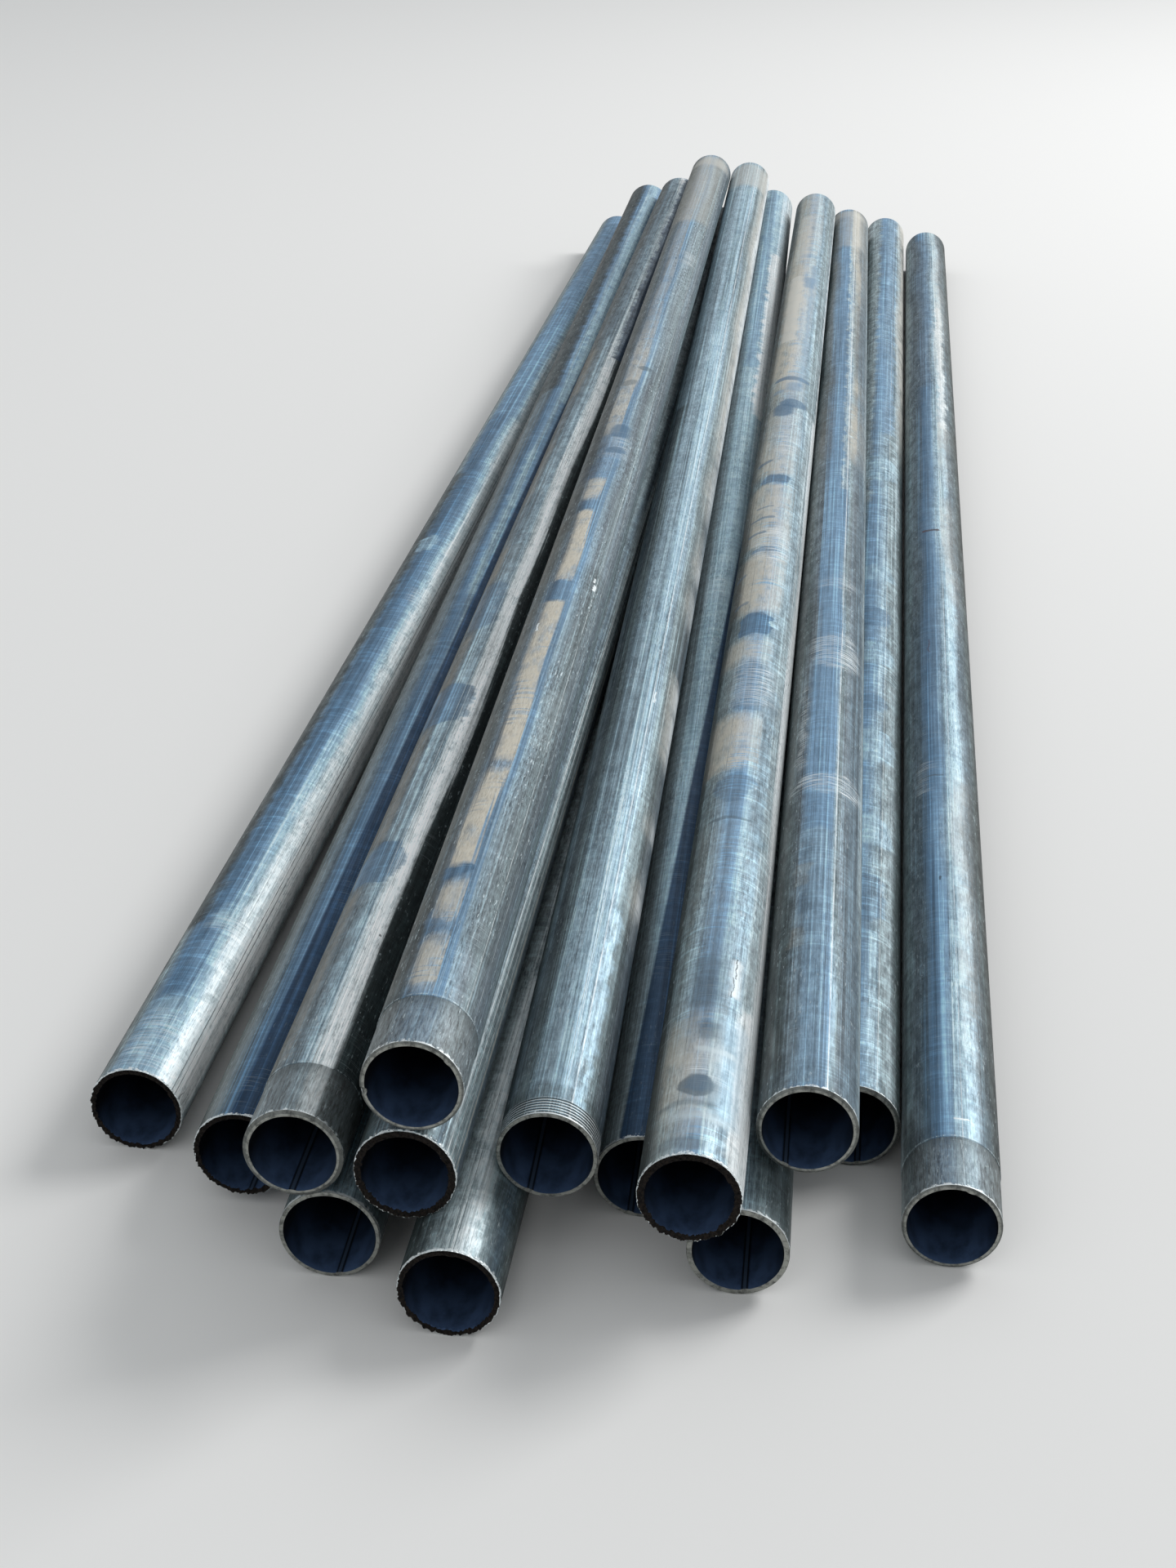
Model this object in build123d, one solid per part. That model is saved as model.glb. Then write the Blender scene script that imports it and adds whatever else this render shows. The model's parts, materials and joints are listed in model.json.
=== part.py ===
from build123d import *
import math
import os

# A heap of fourteen loose steel tubes, all of one outside diameter and one length.
# They lie along Y on level ground, near ends towards -Y, +X to the right, +Z up.
# The origin is the middle of the heap's footprint, at ground level.
# Sizes are millimetres.

OUTSIDE_DIAMETER = 73.0
TUBE_LENGTH = 3048.0
WALL_LIGHT = 3.05
WALL_STANDARD = 4.05
WALL_HEAVY = 5.15

# Weld-ready bevel: a flat land beside the bore, then a slope back to the outside.
BEVEL_LAND = 1.6
BEVEL_ANGLE = 30.0

# Band turned a little under size behind some of the bevels.
BAND_LENGTH = 60.0
BAND_DEPTH = 0.6

# Broken edge of a plain cut end.
EDGE_BREAK = 0.4

# Air left where one tube lies on another, and the step of the search for those places.
SEAT_GAP = 0.3
STATION_STEP = 25.0

# Name, near and far place across the heap, set-back of the near end, wall, near end.
# Places and set-backs are in tube diameters. Rows are in the order of laying.
TUBES = [
    ("base_tube_1", -4.35, -3.80, 2.60, WALL_STANDARD, "sawn"),
    ("base_tube_3", -1.85, -2.35, 0.75, WALL_LIGHT, "plain"),
    ("base_tube_4", -0.55, -0.15, 0.00, WALL_STANDARD, "sawn"),
    ("base_tube_6", 2.10, 1.50, 0.95, WALL_STANDARD, "plain"),
    ("base_tube_7", 3.15, 3.30, 3.20, WALL_STANDARD, "bevelled"),
    ("base_tube_8", 4.15, 4.35, 1.60, WALL_STANDARD, "banded"),
    ("base_tube_2", -3.00, -2.90, 1.80, WALL_STANDARD, "sawn"),
    ("base_tube_5", 1.075, 0.35, 2.05, WALL_LIGHT, "plain"),
    ("upper_tube_2", -1.05, -0.85, 0.60, WALL_HEAVY, "sawn"),
    ("upper_tube_5", 2.70, 2.35, 1.70, WALL_STANDARD, "bevelled"),
    ("upper_tube_1", -2.15, -2.00, 0.70, WALL_HEAVY, "banded"),
    ("upper_tube_3", 0.20, -0.25, 1.35, WALL_LIGHT, "plain"),
    ("upper_tube_4", 1.65, 1.50, 0.50, WALL_HEAVY, "sawn"),
    ("top_tube", -0.95, -1.20, 0.60, WALL_STANDARD, "banded"),
]


class CentreLine:
    """The middle line of one laid tube, straight between its near and its far station."""

    def __init__(self, near_x, far_x, set_back):
        self.near_y = set_back * OUTSIDE_DIAMETER
        self.far_y = self.near_y + TUBE_LENGTH
        self.near_x = near_x * OUTSIDE_DIAMETER
        self.far_x = far_x * OUTSIDE_DIAMETER
        self.near_z = self.far_z = OUTSIDE_DIAMETER / 2

    def share(self, y):
        return (y - self.near_y) / TUBE_LENGTH

    def spans(self, y):
        return self.near_y <= y <= self.far_y

    def x_at(self, y):
        return self.near_x + (self.far_x - self.near_x) * self.share(y)

    def z_at(self, y):
        return self.near_z + (self.far_z - self.near_z) * self.share(y)

    def direction(self):
        return Vector(self.far_x - self.near_x, TUBE_LENGTH, self.far_z - self.near_z).normalized()


def resting_height(line, laid, y):
    """Lowest axis height at station y that clears the ground and every tube laid before."""
    height = OUTSIDE_DIAMETER / 2
    reach = OUTSIDE_DIAMETER + SEAT_GAP
    for other in laid:
        aside = abs(line.x_at(y) - other.x_at(y))
        if other.spans(y) and aside < reach:
            height = max(height, other.z_at(y) + math.sqrt(reach**2 - aside**2))
    return height


def lower_onto(line, laid):
    """Lower a tube straight down. It stops on two places, one each side of its middle.
    The middle is left out of both halves: a line through it alone would have no set slope."""
    middle = (line.near_y + line.far_y) / 2
    steps = math.ceil(TUBE_LENGTH / 2 / STATION_STEP)
    nearer = [line.near_y + (middle - line.near_y) * i / steps for i in range(steps)]
    farther = [middle + (line.far_y - middle) * (i + 1) / steps for i in range(steps)]
    near_seats = [(y, resting_height(line, laid, y)) for y in nearer]
    far_seats = [(y, resting_height(line, laid, y)) for y in farther]
    highest = 0.0
    for y0, z0 in near_seats:
        for y1, z1 in far_seats:
            slope = (z1 - z0) / (y1 - y0)
            at_middle = z0 + slope * (middle - y0)
            if at_middle > highest:
                highest = at_middle
                line.near_z = z0 + slope * (line.near_y - y0)
                line.far_z = z0 + slope * (line.far_y - y0)


def lay_heap():
    """Lay the tubes in order and return each one's centre line."""
    laid = []
    for name, near_x, far_x, set_back, wall, end in TUBES:
        line = CentreLine(near_x, far_x, set_back)
        lower_onto(line, laid)
        laid.append(line)
    return laid


def near_end_outline(bore, outside, end):
    """Points of the wall's section at the near end, from the bore out, as (radius, along)."""
    if end == "sawn":
        return [(bore, 0), (outside, 0)]
    if end == "plain":
        return [
            (bore, EDGE_BREAK),
            (bore + EDGE_BREAK, 0),
            (outside - EDGE_BREAK, 0),
            (outside, EDGE_BREAK),
        ]
    tip = outside - BAND_DEPTH if end == "banded" else outside
    slope = (tip - bore - BEVEL_LAND) * math.tan(math.radians(BEVEL_ANGLE))
    points = [(bore, 0), (bore + BEVEL_LAND, 0), (tip, slope)]
    if end == "banded":
        points += [(tip, BAND_LENGTH), (outside, BAND_LENGTH + BAND_DEPTH)]
    return points


def make_tube(wall, end):
    """One tube about the Z axis, its near end at Z = 0."""
    outside = OUTSIDE_DIAMETER / 2
    bore = outside - wall
    far_end = [
        (outside, TUBE_LENGTH - EDGE_BREAK),
        (outside - EDGE_BREAK, TUBE_LENGTH),
        (bore + EDGE_BREAK, TUBE_LENGTH),
        (bore, TUBE_LENGTH - EDGE_BREAK),
    ]
    outline = near_end_outline(bore, outside, end) + far_end
    section = make_face(Polyline([(radius, 0, along) for radius, along in outline], close=True))
    return revolve(section, axis=Axis.Z)


def place(solid, line):
    """Put a tube on its centre line, near end first."""
    start = (line.near_x, line.near_y, line.near_z)
    return Plane(origin=start, x_dir=(1, 0, 0), z_dir=line.direction()) * solid


lines = lay_heap()
placed = {}
for (name, near_x, far_x, set_back, wall, end), line in zip(TUBES, lines):
    placed[name] = place(make_tube(wall, end), line)

box = Compound(list(placed.values())).bounding_box()
middle = box.center()
footprint = Pos(-middle.X, -middle.Y, -box.min.Z)

os.makedirs("parts", exist_ok=True)
for name in sorted(placed):
    tube = footprint * placed[name]
    export_step(tube, f"parts/{name}.step")
    seat = tube.bounding_box().min.Z
    print(f"{name}: volume {tube.volume / 1000:.0f} cm3, lowest point {seat:.1f} mm")
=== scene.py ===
import json
import math
from collections import namedtuple
from functools import partial

import bpy
from mathutils import Matrix, Vector


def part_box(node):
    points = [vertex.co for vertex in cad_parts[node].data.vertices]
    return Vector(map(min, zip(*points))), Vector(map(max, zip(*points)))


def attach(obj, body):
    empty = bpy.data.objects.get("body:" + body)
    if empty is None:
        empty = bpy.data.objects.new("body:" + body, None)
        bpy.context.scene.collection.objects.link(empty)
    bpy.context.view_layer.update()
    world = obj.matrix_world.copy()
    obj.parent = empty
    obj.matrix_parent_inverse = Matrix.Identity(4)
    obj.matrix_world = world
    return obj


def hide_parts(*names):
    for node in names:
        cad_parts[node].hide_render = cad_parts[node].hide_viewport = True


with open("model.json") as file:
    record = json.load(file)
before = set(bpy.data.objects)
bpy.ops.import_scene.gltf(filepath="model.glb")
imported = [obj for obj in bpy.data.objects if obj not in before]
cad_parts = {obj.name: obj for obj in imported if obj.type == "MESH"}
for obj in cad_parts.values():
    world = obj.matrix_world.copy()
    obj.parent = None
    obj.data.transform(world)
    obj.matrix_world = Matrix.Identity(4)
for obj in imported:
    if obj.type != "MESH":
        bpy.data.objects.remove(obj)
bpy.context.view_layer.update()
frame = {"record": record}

# A heap of fourteen drawn and welded steel tubes on a pale floor, in soft light.
# Lengths are millimetres times MM. Angles round a tube are degrees from its top,
# positive to the right as seen from the near ends, so the underside is at 180.
# TRIM keeps the dressed tubes just inside their CAD nodes.
MM = 0.001
TRIM = 0.004 * MM
OUTSIDE_RADIUS = (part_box("base_tube_4")[1].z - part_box("base_tube_4")[0].z) / 2 - TRIM
EDGE_BREAK = 0.4 * MM

# Faces round the tube and along each strip of it, and where strips join and edges are sharp.
SIDES = 216
BODY_ROWS = 12
SLOPE_ROWS = 5
FLAT_ROWS = 3
LIP_ROWS = 4
BORE_ROWS = 24
WELD_LIMIT = 0.01 * MM
SHARP_ANGLE = math.radians(22)

# Near ends: flat land beside the bore, slope of the bevel, turned band, turned grooves, and
# the bore's first few millimetres, which have faces of their own.
BEVEL_LAND = 1.6 * MM
BEVEL_ANGLE = math.radians(30)
BAND_LENGTH = 60 * MM
BAND_DEPTH = 0.6 * MM
GROOVE_START = 1.5 * MM
GROOVE_PITCH = 3.2 * MM
GROOVE_DEPTH = 0.75 * MM
GROOVE_COUNT = 6
BORE_LIP = 4 * MM

# Weld bead along the bore, and how often its height changes, in swells to the metre.
BEAD_HALF_WIDTH = 3.6 * MM
BEAD_HEIGHT = 0.7 * MM
BEAD_SWELLS = 120.0

# How far along the tube a torn mouth reaches, its tears to the metre, and a nick in the rim.
TEAR_REACH = 3.2 * MM
TEARS = 260.0
NICK_HALF_WIDTH = 3 * MM

# Node kinds that come up again and again. A mix node's colour sockets share their names with its
# others, so they go by number: the share, the colour below, the colour on top and the result.
MATH = "ShaderNodeMath"
VECTOR = "ShaderNodeVectorMath"
RANGE = "ShaderNodeMapRange"
MIX = "ShaderNodeMix"
NOISE = "ShaderNodeTexNoise"
JOIN_XYZ = "ShaderNodeCombineXYZ"
SPLIT_XYZ = "ShaderNodeSeparateXYZ"
SHARE, BELOW, ON_TOP, RESULT = 0, 6, 7, 2

# Colours of the skin. Laid round each tube they are mostly painted light: dark greys paint shade on
# its sides and underside, blues a reflection of sky and the palest a highlight. The same colours
# also serve for dust, lines, scratches and marks that the steel really has.
SHADE = "#343c3d"
# Mostly painted shade on the sides of the tubes, and a dark ring behind one tube's grooves.
DUSK = "#4c5556"
SLATE = "#586771"
GREY = "#79868a"
DULL_STEEL = "#99a5a9"
STEEL = "#8fa3af"
# Painted reflections of blue sky; the palest is also part of a painted highlight.
DEEP_SKY_REFLECTION = "#567590"
SKY_REFLECTION = "#7998b3"
PALE_SKY_REFLECTION = "#a4bfcf"
# Painted highlight and painted glints, and also real scratches and knocks.
HIGHLIGHT_AND_SCRATCH_WHITE = "#cfdce0"
GLINT = "#eef4f5"
# Painted shadow where the tube above shades the skin, and one dark line along a tube.
NAVY = "#27425f"
LEAD = "#6a747b"
TAN = "#c9c3b5"
# Dust, painted browner as shade where it lies on a shaded side.
BROWN_DUST_AND_SHADE = "#7d786f"
CREAM = "#d8d6ce"
# Painted shade on the underside.
UNDERSIDE_SHADE = "#454c4f"
MATT_BAND = "#8e9698"
BAND_DIRT = "#55534f"
RUST = "#5a3532"

# Colours of the bore, the machined faces, the sawn faces and the studio. The bore's pale bottom
# near the mouth is painted skylight, its bead's flanks and crest are painted shade and highlight, and
# the sawn faces' black is painted shade over brown scale.
BORE_OXIDE = "#07090e"
BORE_DRAG = "#121a26"
# Painted skylight on the bottom of the bore near the mouth.
BORE_SKYLIGHT = "#4b6388"
# Painted shade on the bead's flanks and a painted highlight on its crest.
BEAD_FLANK_SHADE = "#05070b"
BEAD_CREST_HIGHLIGHT = "#4b5d75"
MACHINED_LAND = "#989a94"
MACHINED_SLOPE = "#5f6361"
MACHINED_SPOT = "#444645"
# Painted shade on the sawn face, over its brown scale.
SAWN_SHADE_BLACK = "#0c0a09"
SAWN_BROWN = "#2a231e"
SAWN_EDGE = "#a9aeab"
STUDIO_FLOOR = "#efeeec"
STUDIO_AIR = "#eef2f5"

# Grains: how wide the marks are round the tube and how long they are along it, in millimetres,
# the noise's detail and roughness, and a number that keeps each grain's draw its own.
Grain = namedtuple("Grain", "across along detail rough draw")
WANDER = Grain(90, 330, 1.0, 0.5, 0)
BLOTCHES = Grain(9, 30, 6.0, 0.7, 1)
WISPS = Grain(30, 7, 5.0, 0.68, 2)
THIN_DUST = Grain(14, 40, 4.0, 0.65, 3)
FINE_LINES = Grain(0.9, 240, 2.0, 0.6, 4)
DIE_BANDS = Grain(7, 500, 2.0, 0.5, 5)
GRIT = Grain(1.1, 10, 3.0, 0.65, 6)
SCRATCHES = Grain(34, 1.1, 2.0, 0.7, 7)
SCRATCHED_PLACES = Grain(50, 80, 2.0, 0.5, 8)
SEAM_BREAKS = Grain(6, 60, 3.0, 0.6, 9)
BAND_WEAR = Grain(2.6, 15, 5.0, 0.7, 11)
MOUTH_KNOCKS = Grain(3, 3, 3.0, 0.6, 12)
DIE_LINES = Grain(2.2, 700, 3.0, 0.6, 13)
STROKES = Grain(70, 3.5, 3.0, 0.65, 14)
WIPED_PLACES = Grain(60, 100, 2.0, 0.5, 15)
DRIFTS = Grain(22, 120, 3.0, 0.6, 16)
SPARKS = Grain(2.0, 11, 2.0, 0.6, 17)
BORE_LINES = Grain(2.2, 300, 3.0, 0.6, 5)
BORE_CLOUDS = Grain(14, 22, 4.0, 0.6, 6)
OXIDE_SPOTS = Grain(5, 5, 4.0, 0.7, 31)
SAWN_SCALE = Grain(2.2, 2.2, 4.0, 0.75, 41)

# A skin's edges wander in cells of this size, gently or raggedly, by these lengths round and
# along it, and its bands sway and comb by these shares of a turn.
WOBBLE_CELL = 20 * MM
GENTLE = (9 * MM, 12 * MM, 0.0)
RAGGED = (24 * MM, 38 * MM, 0.0)
SWAY = 0.016
COMB = 0.011


def linear(hex_colour):
    """An sRGB hex colour as the linear RGBA that shaders take."""
    parts = [int(hex_colour[i:i + 2], 16) / 255 for i in (1, 3, 5)]
    return (*[p / 12.92 if p <= 0.04045 else ((p + 0.055) / 1.055) ** 2.4 for p in parts], 1.0)


def add(tree, kind, inputs=(), out=0, **settings):
    """Add a node with its settings, fill its inputs and return one of its outputs.
    Inputs are sockets or values: a tuple fills them in order, with None for one left alone,
    and a dict gives them by name or number."""
    made = tree.nodes.new(kind)
    for name, value in settings.items():
        setattr(made, name, value)
    for key, value in inputs.items() if isinstance(inputs, dict) else enumerate(inputs):
        if isinstance(value, bpy.types.NodeSocket):
            tree.links.new(value, made.inputs[key])
        elif value is not None:
            made.inputs[key].default_value = value
    return made.outputs[out] if len(made.outputs) else made


def new_tree(name, inputs):
    """A geometry node tree with named inputs and one geometry output."""
    tree = bpy.data.node_groups.new(name, "GeometryNodeTree")
    for title, kind in inputs:
        tree.interface.new_socket(title, in_out="INPUT", socket_type="NodeSocket" + kind)
    tree.interface.new_socket("Geometry", in_out="OUTPUT", socket_type="NodeSocketGeometry")
    return tree


# The tube's shape

ZONE_SKIN, ZONE_CUT, ZONE_BORE = 0, 1, 2

STRIP_INPUTS = [
    ("Rows", "Int"), ("Start Radius", "Float"), ("Start Along", "Float"),
    ("End Radius", "Float"), ("End Along", "Float"), ("Zone", "Int"), ("Turn Over", "Bool"),
]

TUBE_INPUTS = [
    ("Outside Radius", "Float"), ("Bore Radius", "Float"), ("Length", "Float"),
    ("Tip Radius", "Float"), ("Land", "Float"), ("Slope", "Float"),
    ("Band Length", "Float"), ("Band Depth", "Float"),
    ("End Zone", "Float"), ("End Rows", "Int"),
    ("Groove Count", "Int"), ("Ragged", "Float"), ("Bead Angle", "Float"),
    ("Nick Angle", "Float"), ("Nick Depth", "Float"), ("Seed", "Int"),
    ("Skin", "Material"), ("Cut", "Material"), ("Bore", "Material"),
]


def turned_strip_tree():
    """A ring-shaped strip of faces between two circles about the Y axis."""
    tree = new_tree("turned_strip", STRIP_INPUTS)
    given = tree.nodes.new("NodeGroupInput").outputs
    lines = add(tree, MATH, (given["Rows"], 1.0), operation="ADD")
    grid = add(tree, "GeometryNodeMeshGrid",
               {"Size X": 1.0, "Size Y": 1.0, "Vertices X": SIDES + 1, "Vertices Y": lines})
    spot = add(tree, SPLIT_XYZ, (add(tree, "GeometryNodeInputPosition"),)).node.outputs
    angle = add(tree, MATH, (spot["X"], math.tau, math.pi), operation="MULTIPLY_ADD")
    share = add(tree, MATH, (spot["Y"], 0.5), operation="ADD")
    radius = add(tree, RANGE, (share, 0.0, 1.0, given["Start Radius"], given["End Radius"]))
    along = add(tree, RANGE, (share, 0.0, 1.0, given["Start Along"], given["End Along"]))
    cosine = add(tree, MATH, (angle,), operation="COSINE")
    sine = add(tree, MATH, (angle,), operation="SINE")
    place = add(tree, JOIN_XYZ, (
        add(tree, MATH, (cosine, radius), operation="MULTIPLY"),
        along,
        add(tree, MATH, (sine, radius), operation="MULTIPLY"),
    ))
    bent = add(tree, "GeometryNodeSetPosition", {"Geometry": grid, "Position": place})
    zoned = add(tree, "GeometryNodeStoreNamedAttribute",
                {"Geometry": bent, "Name": "zone", "Value": given["Zone"]}, data_type="INT", domain="FACE")
    turned = add(tree, "GeometryNodeFlipFaces", {"Mesh": zoned})
    chosen = add(tree, "GeometryNodeSwitch",
                 {"Switch": given["Turn Over"], "False": zoned, "True": turned}, input_type="GEOMETRY")
    add(tree, "NodeGroupOutput", {"Geometry": chosen})
    return tree


# A point's place, its distance from the axis and along it, and the unit direction outwards.
Around = namedtuple("Around", "place radius along outward")


def around_axis(tree):
    place = add(tree, "GeometryNodeInputPosition")
    spot = add(tree, SPLIT_XYZ, (place,)).node.outputs
    flat = add(tree, JOIN_XYZ, (spot["X"], None, spot["Z"]))
    radius = add(tree, VECTOR, (flat,), "Value", operation="LENGTH")
    return Around(place, radius, spot["Y"], add(tree, VECTOR, (flat,), operation="NORMALIZE"))


def beside_angle(tree, outward, angle, radius, half_width):
    """One along the line at that angle round the tube, falling to nought at half_width."""
    sine = add(tree, MATH, (angle,), operation="SINE")
    cosine = add(tree, MATH, (angle,), operation="COSINE")
    direction = add(tree, JOIN_XYZ, (sine, None, cosine))
    agreement = add(tree, VECTOR, (outward, direction), "Value", operation="DOT_PRODUCT")
    spread = add(tree, MATH, (half_width, radius), operation="DIVIDE")
    edge = add(tree, MATH, (spread,), operation="COSINE")
    return add(tree, RANGE, (agreement, edge, 1.0), interpolation_type="SMOOTHSTEP")


def push(tree, shape, direction, distance):
    """Move each point of a shape along its own direction by its own distance."""
    offset = add(tree, VECTOR, {0: direction, "Scale": distance}, operation="SCALE")
    return add(tree, "GeometryNodeSetPosition", {"Geometry": shape, "Offset": offset})


def cut_skin(tree, skin, given):
    """Turn the band and the grooves into the skin near the mouth."""
    at = around_axis(tree)
    band_end = add(tree, MATH, (given["Band Length"], BAND_DEPTH), operation="ADD")
    band = add(tree, RANGE, (at.along, given["Band Length"], band_end, given["Band Depth"], 0.0),
               interpolation_type="SMOOTHSTEP")
    groove = add(tree, MATH, (at.along, 1 / GROOVE_PITCH, -GROOVE_START / GROOVE_PITCH),
                 operation="MULTIPLY_ADD")
    turns = add(tree, MATH, (groove, math.tau), operation="MULTIPLY")
    cosine = add(tree, MATH, (turns,), operation="COSINE")
    wave = add(tree, MATH, (cosine, -GROOVE_DEPTH / 2, GROOVE_DEPTH / 2), operation="MULTIPLY_ADD")
    started = add(tree, MATH, (groove, 0.0), operation="GREATER_THAN")
    unfinished = add(tree, MATH, (groove, given["Groove Count"]), operation="LESS_THAN")
    within = add(tree, MATH, (started, unfinished), operation="MULTIPLY")
    depth = add(tree, MATH, (wave, within, band), operation="MULTIPLY_ADD")
    inward = add(tree, VECTOR, (at.outward, (-1.0, -1.0, -1.0)), operation="MULTIPLY")
    return push(tree, skin, inward, depth)


def raise_bead(tree, shape, given):
    """The weld bead along the bore, pushed in towards the axis and marked for its finish."""
    at = around_axis(tree)
    limit = add(tree, MATH, (given["Bore Radius"], WELD_LIMIT), operation="ADD")
    in_bore = add(tree, MATH, (at.radius, limit), operation="LESS_THAN")
    near = beside_angle(tree, at.outward, given["Bead Angle"], given["Bore Radius"], BEAD_HALF_WIDTH)
    near = add(tree, MATH, (near, in_bore), operation="MULTIPLY")
    marked = add(tree, "GeometryNodeStoreNamedAttribute",
                 {"Geometry": shape, "Name": "bead", "Value": near}, data_type="FLOAT")
    uneven = add(tree, NOISE, (at.place, None, BEAD_SWELLS, 1.0))
    share = add(tree, RANGE, (uneven, 0.0, 1.0, -0.5 * BEAD_HEIGHT, -1.5 * BEAD_HEIGHT))
    height = add(tree, MATH, (near, share), operation="MULTIPLY")
    return push(tree, marked, at.outward, height)


def roughen_mouth(tree, shape, given):
    """Torn metal of a saw cut and a nick in the rim, always inside the tube's own outline."""
    at = around_axis(tree)
    shift = add(tree, JOIN_XYZ, (given["Seed"], given["Seed"]))
    seeded = add(tree, VECTOR, (at.place, shift), operation="ADD")
    coarse = add(tree, NOISE, (seeded, None, TEARS, 3.0, 0.75))
    tear = add(tree, RANGE, (coarse, 0.38, 0.72, 0.0, given["Ragged"]))
    nick = beside_angle(tree, at.outward, given["Nick Angle"], given["Outside Radius"], NICK_HALF_WIDTH)
    bite = add(tree, MATH, (nick, given["Nick Depth"], tear), operation="MULTIPLY_ADD")
    at_edge = add(tree, RANGE, (at.along, 0.0, TEAR_REACH, 1.0, 0.0), interpolation_type="SMOOTHSTEP")
    deep = add(tree, MATH, (bite, at_edge), operation="MULTIPLY")
    inward = add(tree, VECTOR, (at.outward, (-0.8, -0.8, -0.8)), operation="MULTIPLY")
    return push(tree, shape, add(tree, VECTOR, (inward, (0.0, 1.0, 0.0)), operation="ADD"), deep)


def tube_tree():
    """One whole tube about the Y axis, its near mouth at the origin."""
    strips = turned_strip_tree()
    tree = new_tree("drawn_tube", TUBE_INPUTS)
    given = tree.nodes.new("NodeGroupInput").outputs
    outside, bore, length = given["Outside Radius"], given["Bore Radius"], given["Length"]
    inner_edge = add(tree, MATH, (bore, given["Land"]), operation="ADD")

    def strip(*values):
        """Values are in the order of STRIP_INPUTS."""
        return add(tree, "GeometryNodeGroup", dict(zip([title for title, kind in STRIP_INPUTS], values)),
                   node_tree=strips)

    end_skin = strip(given["End Rows"], outside, given["Slope"], outside, given["End Zone"],
                     ZONE_SKIN, True)
    parts = [
        cut_skin(tree, end_skin, given),
        strip(BODY_ROWS, outside, given["End Zone"], outside, length, ZONE_SKIN, True),
        strip(SLOPE_ROWS, given["Tip Radius"], given["Slope"], inner_edge, 0.0, ZONE_CUT, False),
        strip(FLAT_ROWS, inner_edge, 0.0, bore, 0.0, ZONE_CUT, False),
        strip(LIP_ROWS, bore, 0.0, bore, BORE_LIP, ZONE_BORE, False),
        strip(BORE_ROWS, bore, BORE_LIP, bore, length, ZONE_BORE, False),
        strip(FLAT_ROWS, bore, length, outside, length, ZONE_CUT, False),
    ]
    joined = tree.nodes.new("GeometryNodeJoinGeometry")
    for part in parts:
        tree.links.new(part, joined.inputs[0])
    welded = add(tree, "GeometryNodeMergeByDistance",
                 {"Geometry": joined.outputs[0], "Distance": WELD_LIMIT})
    marked = add(tree, "GeometryNodeStoreNamedAttribute",
                 {"Geometry": welded, "Name": "place", "Value": add(tree, "GeometryNodeInputPosition")},
                 data_type="FLOAT_VECTOR")
    shaped = roughen_mouth(tree, raise_bead(tree, marked, given), given)
    corner = add(tree, "GeometryNodeInputMeshEdgeAngle", out="Unsigned Angle")
    sharp = add(tree, "FunctionNodeCompare", (corner, SHARP_ANGLE), operation="GREATER_THAN")
    shaded = add(tree, "GeometryNodeSetShadeSmooth",
                 {"Geometry": shaped, "Selection": sharp, "Shade Smooth": False}, domain="EDGE")
    result = add(tree, "GeometryNodeRealizeInstances", {"Geometry": shaded})
    zone = add(tree, "GeometryNodeInputNamedAttribute", {"Name": "zone"}, data_type="INT")
    for number, finish in ((ZONE_SKIN, "Skin"), (ZONE_CUT, "Cut"), (ZONE_BORE, "Bore")):
        here = add(tree, "FunctionNodeCompare", {"A": zone, "B": number},
                   data_type="INT", operation="EQUAL")
        result = add(tree, "GeometryNodeSetMaterial",
                     {"Geometry": result, "Selection": here, "Material": given[finish]})
    add(tree, "NodeGroupOutput", {"Geometry": result})
    return tree


# Finishes

def new_material(name):
    material = bpy.data.materials.new(name)
    material.use_nodes = True
    material.node_tree.nodes.clear()
    return material, material.node_tree


def give_surface(tree, sockets):
    """End a material in one principled shader."""
    shader = add(tree, "ShaderNodeBsdfPrincipled", sockets)
    add(tree, "ShaderNodeOutputMaterial", {"Surface": shader})


def layered(tree, colour, *layers):
    """A colour under layers of finish. A layer is its cover, its finish, which is a hex colour or
    a socket, and a way to blend where it isn't plainly laid on top."""
    for cover, finish, *blend in layers:
        laid = linear(finish) if isinstance(finish, str) else finish
        colour = add(tree, MIX, {SHARE: cover, BELOW: colour, ON_TOP: laid}, RESULT,
                     data_type="RGBA", blend_type=blend[0] if blend else "MIX")
    return colour


def tube_place(tree):
    """Position in the tube's own axes, so that a pattern runs with the tube."""
    return add(tree, "ShaderNodeAttribute", out="Vector", attribute_name="place")


def grain(tree, place, kind, seed=0):
    """Noise from about 0.3 to 0.7 with marks of the grain's size."""
    draw = seed + kind.draw
    size = (1 / (kind.across * MM), 1 / (kind.along * MM), 1 / (kind.across * MM))
    spread = add(tree, VECTOR, (place, size, (draw * 3.7, draw * 1.3, draw * 2.1)),
                 operation="MULTIPLY_ADD")
    return add(tree, NOISE, (spread, None, 1.0, kind.detail, kind.rough))


def ramp_of(tree, value, stops):
    """Colours or grey levels at places from 0 to 1."""
    node = add(tree, "ShaderNodeValToRGB", (value,)).node
    points = node.color_ramp.elements
    while len(points) < len(stops):
        points.new(0.5)
    for point, (at, level) in zip(points, sorted(stops)):
        point.position = at
        point.color = linear(level) if isinstance(level, str) else (level, level, level, 1.0)
    return node.outputs[0]


# Where a point lies on a tube's skin. flat, gentle and ragged are the skin rolled out, round and
# along: with true edges, with edges that wander a little, and as torn as a wiped film's. noise
# gives a grain that runs with this tube.
Lie = namedtuple("Lie", "along turn round_it flat gentle ragged noise")


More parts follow.
